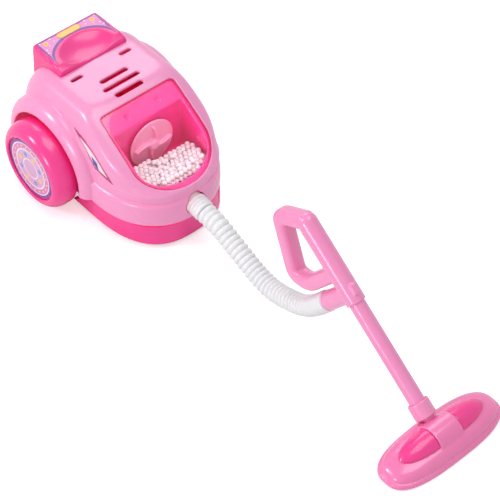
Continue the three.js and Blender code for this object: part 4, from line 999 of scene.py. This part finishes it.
def makeGripLabel(block):
    g = gripLabel
    skin = BVHTree.FromPolygons([v.co for v in block.data.vertices], [f.vertices for f in block.data.polygons])
    sheet = newSheet(["print_purple", "print_rose", "print_orange", "print_yellow", "print_white"])

    def onTop(x, y, lift):
        start = toFrame @ Vector((x, y, grip.top + g.above))
        return fromFrame @ skin.ray_cast(start, Vector((0, 0, -1)))[0] + Vector((0, 0, lift))

    def addPlate(outline, lift, ink):
        rings = [[onTop(x, y, up) for x, y in outline] for up in (g.lift + lift, -g.sink)]
        points, faces = ringSkin(rings, capped=True)
        addFaces(sheet, points, faces, [ink] * len(faces))

    rows = []
    for k in range(g.steps + 1):
        turn = math.radians(g.maxTurn * (2 * k / g.steps - 1))
        way = Vector((-g.bowlRadii[0] * math.cos(turn), g.bowlRadii[1] * math.sin(turn)))
        reach = min((g.rear - g.bowl) / min(way.x, -1e-6), g.half / max(abs(way.y), 1e-6))
        bowl = Vector((g.bowl, 0))
        inner, outer = bowl + way, bowl + way * max(reach, g.leastReach)
        share = min(0.5, g.edge / (outer - inner).length)
        rows.append([inner.lerp(outer, v) for v in (0, share, 1 - share * g.rearEdge, 1)])
    for before, after in zip(rows, rows[1:]):
        for band, ink in enumerate(g.bands):
            corners = [before[band], before[band + 1], after[band + 1], after[band]]
            addFaces(sheet, [onTop(c.x, c.y, g.lift) for c in corners], [(0, 1, 2, 3)], [ink])
    pill = g.pill
    for grow, lift, ink in pill.layers:
        shape = slotOutline(pill.length + 2 * grow, pill.width + 2 * grow)
        addPlate([(pill.x + y, x) for x, y in shape], lift, ink)
    specks = [(*speck, g.speckLift, "print_white") for speck in g.specks]
    for x, y, radius, lift, ink in g.dots + specks:
        for side in (1, -1):
            addPlate([(x + radius * c, side * y + radius * s) for c, s in around(g.dotSides)], lift, ink)
    label = laySheet("gripLabel", sheet, Matrix(), "canister")
    welded(label, g.weld)
    settle(label)
    print("grip label laid")


makeGripLabel(gripBlock)


# Wheels and their printed hub discs

wheel = Settings(
    radius=27.6, width=15.5, inner=36.0, float=3.5, tyreRound=8.5, tyreSteps=16, face=21.2,
    recessRadius=20.4, recessDepth=2.2, recessLip=[(0.3, 0.15), (0, 0.6)], recessEdge=0.3,
    heel=4.0, heelWidth=3.5, heelSteps=8, bore=1.8, capRoom=4.0, capDepth=4.0,
)
hubPrint = Settings(
    radius=19.2, thickness=0.8, lift=0.3, sides=96, dotSides=20, dotLift=0.08, back="print_white",
    bands=[(6.2, "print_lilac"), (6.9, "print_white"), (12.6, "print_lilac"), (13.5, "print_white"),
              (16.9, "print_pink"), (17.6, "print_white"), (19.2, "print_purple")],
    dots=[(9.7, 8, 1.55, ("print_blue", "print_yellow")), (15.2, 20, 0.55, ("print_white", "print_white"))],
)


def makeWheel(name, side):
    w = wheel
    quarter = math.pi / 2
    heel, face, shoulder, inset = w.heel, w.face, w.tyreRound, w.recessEdge
    recess, bed = w.recessRadius, w.width - w.recessDepth
    profile = [(w.bore, 0), (w.radius - heel, 0)]
    profile += [(w.radius - heel + heel * s, w.heelWidth * (1 - c))
                for c, s in arcOf(0, quarter, w.heelSteps)[1:]]
    profile += [(face + (w.radius - face) * c, w.width - shoulder + shoulder * s)
                for c, s in arcOf(0, quarter, w.tyreSteps)]
    profile += [(recess + out, w.width - down) for out, down in w.recessLip]
    profile += [(recess, bed + inset), (recess - inset, bed), (w.capRoom, bed), (w.capRoom, bed - w.capDepth),
                (w.bore, bed - w.capDepth)]
    place = shift(0, -w.float, arch.axleZ) @ spin(0 if side > 0 else 180, "Z") @ shift(0, w.inner, 0) @ alongY
    tyre = turnedPiece("tyre_" + name, profile, place)
    smoothOver(tyre, 40)
    dress(tyre, "hot_pink", name + "_wheel", ["wheel_" + name])
    makeHubPrint(name, place, bed)


def makeHubPrint(name, place, bed):
    h = hubPrint
    count, dotCount = h.sides, h.dotSides
    low, high = bed + h.lift, bed + h.lift + h.thickness
    sheet = newSheet(sorted({ink for _, ink in h.bands} | {ink for *_, pair in h.dots for ink in pair}))
    levels = [(radius, high) for radius, _ in h.bands] + [(h.radius, low)]
    points, faces = ringSkin([[(radius * c, radius * s, z) for c, s in around(count)] for radius, z in levels])
    middle, last = len(points), len(points) - count
    fans = [(middle, i, (i + 1) % count) for i in range(count)]
    bands = [ink for _, ink in h.bands]
    inks = [ink for ink in bands + bands[-1:] for _ in range(count)]
    addFaces(sheet, points + [(0, 0, high)], fans + faces + [tuple(range(last, middle))[::-1]], inks + [h.back])
    for reach, dots, radius, pair in h.dots:
        for n, (c0, s0) in enumerate(around(dots, 0.5)):
            points, faces = ringSkin([
                [(reach * c0 + radius * c, reach * s0 + radius * s, high + lift) for c, s in around(dotCount)]
                for lift in (0, h.dotLift)])
            faces.append(tuple(range(dotCount, 2 * dotCount)))
            addFaces(sheet, points, faces, [pair[n % 2]] * len(faces))
    disc = laySheet("hubPrint_" + name, sheet, place, name + "_wheel", ["hub_disc_" + name])
    smoothOver(disc, 30)


for wheelName, wheelSide in (("left", 1), ("right", -1)):
    makeWheel(wheelName, wheelSide)
print("wheels drawn")


# Hose outlet collar

def makeOutlet():
    o = outlet
    profile = [(o.bore, -o.length), (o.valley, -o.length)]
    steps = o.ribSteps * o.ribs
    for k in range(steps + 1):
        crown = abs(math.sin(math.pi * k / o.ribSteps)) ** o.crownPower
        profile.append((o.valley + (o.radius - o.valley) * crown, o.ribbed * (k / steps - 1)))
    collar = turnedPiece("outletCollar", profile + [(o.bore, 0)], outletPlace, 64)
    smoothOver(collar, 60)
    dress(collar, "white_hose", "canister", ["hose_outlet"])


makeOutlet()


# Wand: handle with its loop, extension tube, and the sleeve at the floor head

handle = Settings(
    radius=5.6, length=49.0, endSteps=16, sides=64,
    loopThick=9.4, loopWidth=10.0, loopCorner=5.0, loopSquare=3.0, loopSides=48,
    corners=[(-49.8, 0.5), (-58.8, -19.4), (-27.0, -39.4), (-18.9, -31.0), (-18.9, -3.0)],
    cornerShare=0.45, cornerSteps=10, sideStep=1.5, lastSteps=12,
    connector=-6.4, connectorRadius=5.7, connectorEnd=24.4, bore=4.2,
    latchX=-6.5, latchLength=8.0, latchWidth=4.0, latchHeight=1.3, latchSink=1, latchSlope=0.5,
    tube=4.5, tubeBore=3.3, tubeInsert=13.0, tubeEnd=65.0, play=0.3, melt=(0.45, 6),
)
sleeve = Settings(
    radius=6.1, start=60.5, end=69.5, tongueWidth=5.0, tongueRadius=3.4, tongueSink=2,
    pin=1.5, pinReach=10, melt=(0.35, 4),
)
pivot = Settings(x=271.6, z=8.6)
head = Settings(
    x=279.6, half=40.0, depth=15.35, square=2.8, sides=128, lift=0.5, melt=(0.34, 4, 0.6),
    rim=4.2, rimStep=1.6, rimEdge=0.7, groove=[(-0.4, 0.1), (0.3, -0.7)],
    dome=11.0, domeFlat=0.35, domeSquare=2.6, domeSink=1.0, domeSteps=24,
    ridge=16.4, ridgeHalf=32.5, ridgeDepth=9.8, ridgeBase=5.0, ridgeSquare=2.9, ridgeSides=96,
    ridgeRings=64, ridgeEnd=0.999, ridgeTop=40, saddle=8.2, saddleProud=0.5,
    panelGap=0.3, panelSeat=0.4, panelMelt=(0.3, 4), pivotRoom=0.4, tilt=10.0,
    soleInset=2.2, soleBelow=-2, soleRoom=2.5, hollowInset=4.0, hollowTop=4.5,
)


def loopPath(h):
    points = [Vector((x, 0, z)) for x, z in h.corners]

    def near(corner, towards):
        return corner.lerp(towards, min(h.cornerShare, h.loopCorner / (corner - towards).length))

    line = [points[0]]
    for i in range(1, len(points) - 1):
        before, after = near(points[i], points[i - 1]), near(points[i], points[i + 1])
        gap = before - line[-1]
        steps = max(2, int(gap.length / h.sideStep))
        line += [line[-1] + gap * k / steps for k in range(1, steps)]
        line += [Vector(p) for p in bezier(before, points[i], after, h.cornerSteps)]
    gap = points[-1] - line[-1]
    return line + [line[-1] + gap * k / h.lastSteps for k in range(1, h.lastSteps + 1)]


def handleLoop(h):
    line = loopPath(h)
    half, thick, square = h.loopWidth / 2, h.loopThick / 2, h.loopSquare
    rings = []
    for i, middle in enumerate(line):
        ahead = (line[min(i + 1, len(line) - 1)] - line[max(i - 1, 0)]).normalized()
        up = ahead.cross(across).normalized()
        rings.append([middle + across * (half * squared(c, square)) + up * (thick * squared(s, square))
                      for c, s in around(h.loopSides)])
    return loft("handleLoop", rings, wandPlace)


def handleLatch(h):
    x, reach, half = h.latchX, h.latchLength, h.latchWidth / 2
    foot, crown = h.radius - h.latchSink, h.radius + h.latchHeight
    wedge = [(x - reach / 2, foot), (x + reach / 2, foot), (x + reach / 4, crown),
             (x - reach / 2 + h.latchSlope, crown)]
    return prismPiece("handleLatch", wedge, wandPlace @ standing, -half, half)


def makeHandle():
    h = handle
    sides, radius, insert, end = h.sides, h.radius, h.tubeInsert, h.tubeEnd
    tubeAxis = wandPlace @ alongX
    profile = [(0, -h.length - radius)]
    profile += [(radius * s, -h.length - radius * c) for c, s in arcOf(0, math.pi / 2, h.endSteps)[1:]]
    body = turnedPiece("wandHandle", profile + [(radius, 0), (0, 0)], tubeAxis, sides)
    branch = wandPlace @ shift(h.connector, 0, 0)
    joined(body, handleLoop(h))
    joined(body, bar("hoseBranch", h.connectorRadius, branch, -h.connectorEnd, 0, sides))
    joined(body, handleLatch(h))
    carved(body, bar("branchBore", h.bore, branch, -2 * h.connectorEnd, -radius, sides))
    carved(body, bar("tubeSocket", h.tube + h.play, tubeAxis, -insert - h.play, 2, sides))
    melted(body, *h.melt)
    dress(body, "wand_pink", "wand", ["wand_handle"])
    tube = turnedPiece("wandTube", [
        (h.tubeBore, -insert), (h.tube, -insert), (h.tube, end), (h.tubeBore, end)], tubeAxis, sides)
    smoothOver(tube, 40)
    dress(tube, "wand_pink", "wand", ["extension_tube"])


pivotPlace = shift(pivot.x, 0, pivot.z)
pivotOnWand = (wandPlace.inverted() @ pivotPlace).translation


def sleeveForm(name, grow, place):
    s = sleeve
    form = bar(name, s.radius + grow, place @ alongX, s.start - grow, s.end + grow, 64)
    half, reach = s.tongueWidth / 2 + grow, s.tongueRadius + grow
    x0, x1, z = s.end - s.tongueSink, pivotOnWand.x, pivotOnWand.z
    arm = [(x0, -half), (x1, -half), (x1, half), (x0, half)]
    joined(form, prismPiece("tongue", arm, place, z - reach, z + reach))
    return joined(form, bar("knuckle", reach, place @ shift(x1, 0, z) @ alongY, -half, half, 48))


def makeSleeve():
    s, h = sleeve, handle
    collar = sleeveForm("headSleeve", 0, wandPlace)
    carved(collar, bar("sleeveSocket", h.tube + h.play, wandPlace @ alongX, s.start - 2,
                       h.tubeEnd + h.play, 64))
    carved(collar, bar("pinHole", s.pin, pivotPlace @ alongY, -s.pinReach, s.pinReach, 32))
    melted(collar, *s.melt)
    dress(collar, "wand_pink", "wand", ["head_sleeve"])


def headRing(inset, z, shrink=1.0):
    h = head
    depth, half = (h.depth - inset) * shrink, (h.half - inset) * shrink
    return [Vector((h.x + depth * squared(c, h.square), half * squared(s, h.square), z))
            for c, s in around(h.sides, 0.5)]


def headDome(name, grow):
    h = head
    foot, power = h.rim - h.domeSink, 2 / h.domeSquare
    rings = []
    for c, s in arcOf(0, math.pi / 2, h.domeSteps):
        shrink = h.domeFlat + (1 - h.domeFlat) * max(0, c) ** power
        rings.append(headRing(h.rimStep - grow, foot + (h.dome - foot + grow) * s ** power, shrink))
    return loft(name, rings)


def ridgeForm(name, grow):
    h = head
    depth, half, base = h.ridgeDepth + grow, h.ridgeHalf + grow, h.ridgeBase
    rise = h.ridge - base + grow
    rings = []
    for _, s in arcOf(-math.pi / 2, math.pi / 2, h.ridgeRings):
        share = h.ridgeEnd * s
        full = (1 - abs(share) ** h.ridgeSquare) ** 0.5
        rings.append([Vector((h.x + depth * full * c, half * share, base + rise * full * up))
                      for c, up in around(h.ridgeSides)])
    return loft(name, rings)


def ridgeBox(name, y0, y1, foot):
    return boxPiece(name, head.x - head.depth, head.x + head.depth, y0, y1, foot, head.ridgeTop)


def makeHead():
    h = head
    edge, rim = h.rimEdge, h.rim
    shell = loft("headCover", [
        headRing(edge, h.lift), headRing(0, h.lift + edge), headRing(0, rim - edge), headRing(edge, rim),
        *(headRing(h.rimStep + inset, rim + up) for inset, up in h.groove)])
    joined(shell, headDome("headDome", 0))
    saddle = ridgeForm("headSaddle", h.saddleProud)
    joined(shell, within(saddle, ridgeBox("saddleBox", -h.saddle, h.saddle, rim - h.domeSink)))
    for name, inset, low, high in (("soleRoom", h.soleInset, h.soleBelow, h.soleRoom),
                                   ("headHollow", h.hollowInset, 0, h.hollowTop)):
        carved(shell, loft(name, [headRing(inset, low), headRing(inset, high)]))
    for share in (-1, 0, 1):
        swing = pivotPlace @ spin(share * h.tilt, "Y") @ pivotPlace.inverted()
        carved(shell, sleeveForm("pivotRoom", h.pivotRoom, swing @ wandPlace))
    melted(shell, *h.melt)
    dress(shell, "head_pink", "floor_head", ["head_cover"])
    for name, side in (("left", 1), ("right", -1)):
        panel = ridgeForm("headPanel_" + name, 0)
        ends = sorted((side * (h.saddle + h.panelGap), side * h.half))
        within(panel, ridgeBox("panelBox", *ends, h.ridgeBase))
        carved(panel, headDome("panelSeat", h.panelSeat))
        melted(panel, *h.panelMelt)
        dress(panel, "hot_pink", "floor_head", ["head_insert_" + name])


makeHandle()
makeSleeve()
makeHead()
print("wand and floor head drawn")


# Tray, and the rigid pieces that keep the shape of their solids

slotOf = {entry["node"]: entry["material_slot"] for entry in frame["record"]["subparts"]}
solids = Settings(weld=1e-6, sharp=32)
tray = Settings(
    bottom=2.5, top=17.8, front=82.8, rear=-39.8, half=36.9, nose=50, tail=20, square=2.6,
    edge=1.5, wall=3.4, roomTop=30, well=28.9, wellPlate=26.0,
)


# The solid's tray with a taller outer wall, nearly flush with the skirt
def makeTray():
    t = tray

    def wallRing(z, inset):
        return planRing(z, t.front - inset, t.rear + inset, t.half - inset, t.nose, t.tail, t.square,
                        t.square)

    shell = newPiece("trayShell", nodes["base_tray"].data.copy())
    welded(shell, solids.weld)
    settle(shell)
    low, edge = t.bottom, t.edge
    wall = loft("trayWall", [wallRing(low, edge), wallRing(low + edge / 3, edge / 3), wallRing(low + edge, 0),
                             wallRing(t.top, 0)])
    carved(wall, loft("trayRoom", [wallRing(0, t.wall), wallRing(t.roomTop, t.wall)]))
    for side in (1, -1):
        carved(wall, bar("wheelWell", t.well, wheelAxis(side), t.wellPlate, farOut, arch.sides))
    joined(shell, wall)
    smoothOver(shell, solids.sharp)
    levelled(shell)
    settle(shell)
    dress(shell, "hot_pink", "canister", ["base_tray"])
    print("tray drawn:", len(shell.data.polygons), "faces")


makeTray()


def dressSolids():
    for name, node in nodes.items():
        if node.hide_render:
            continue
        welded(node, solids.weld)
        smoothOver(node, solids.sharp)
        levelled(node)
        node.data.materials.clear()
        node.data.materials.append(plastic.get(slotOf[name], plastic["white_plastic"]))
    print("solids dressed")


dressSolids()


# Stage: pale floor, soft tent light

stage = Settings(floorHalf=6000, floorTone=0.9, floorLift=0.5, ambient=0.42, backdrop=0.9)


def makeStage(s):
    reach = s.floorHalf
    corners = [(-reach, -reach, 0), (reach, -reach, 0), (reach, reach, 0), (-reach, reach, 0)]
    floor = pieceFrom("floor", corners, [(0, 1, 2, 3)])
    material, tree, shader = newMaterial("paleFloor")
    setInputs(shader, {"Base Color": (s.floorTone,) * 3 + (1,), "Roughness": 0.9, "Specular IOR Level": 0.1,
                       "Emission Color": (1, 1, 1, 1)})
    path = addNode(tree, "LightPath")
    seen = mathNode(tree, "MAXIMUM", path.outputs["Is Camera Ray"], path.outputs["Is Transmission Ray"])
    tree.links.new(mathNode(tree, "MULTIPLY", seen, s.floorLift), shader.inputs["Emission Strength"])
    floor.data.materials.append(material)

    scene.world = bpy.data.worlds.new("softTent")
    scene.world.use_nodes = True
    tree = scene.world.node_tree
    light = tree.nodes["Background"]
    light.inputs["Color"].default_value = (1, 1, 1, 1)
    path = addNode(tree, "LightPath")
    seen = mathNode(tree, "MAXIMUM", path.outputs["Is Camera Ray"], path.outputs["Is Glossy Ray"])
    seen = mathNode(tree, "MAXIMUM", seen, path.outputs["Is Transmission Ray"])
    lift = mathNode(tree, "MULTIPLY", seen, s.backdrop - s.ambient)
    tree.links.new(mathNode(tree, "ADD", lift, s.ambient), light.inputs["Strength"])


lamps = {
    "keyPanel": {"from": (-1100, -1900, 1500), "at": (130, 0, 30), "size": 0.55, "watts": 18},
    "roofPanel": {"from": (-760, 540, 920), "at": (30, 0, 60), "size": 0.6, "watts": 2.6},
    "topPanel": {"from": (500, 300, 2600), "at": (130, 0, 40), "size": 1.6, "watts": 21.5},
    "lowPanel": {"from": (500, -2300, 450), "at": (130, 0, 20), "size": 0.6, "watts": 11},
}


def makeLamps(settings):
    for name, s in settings.items():
        data = bpy.data.lights.new(name, "AREA")
        data.shape = "SQUARE"
        data.size = s["size"]
        data.energy = s["watts"]
        place, target = toFrame @ Vector(s["from"]), toFrame @ Vector(s["at"])
        aim = (target - place).to_track_quat("-Z", "Y").to_matrix().to_4x4()
        newPiece(name, data).matrix_world = Matrix.Translation(place) @ aim


makeStage(stage)
makeLamps(lamps)
scene.view_settings.view_transform = "Standard"
print("stage lit")
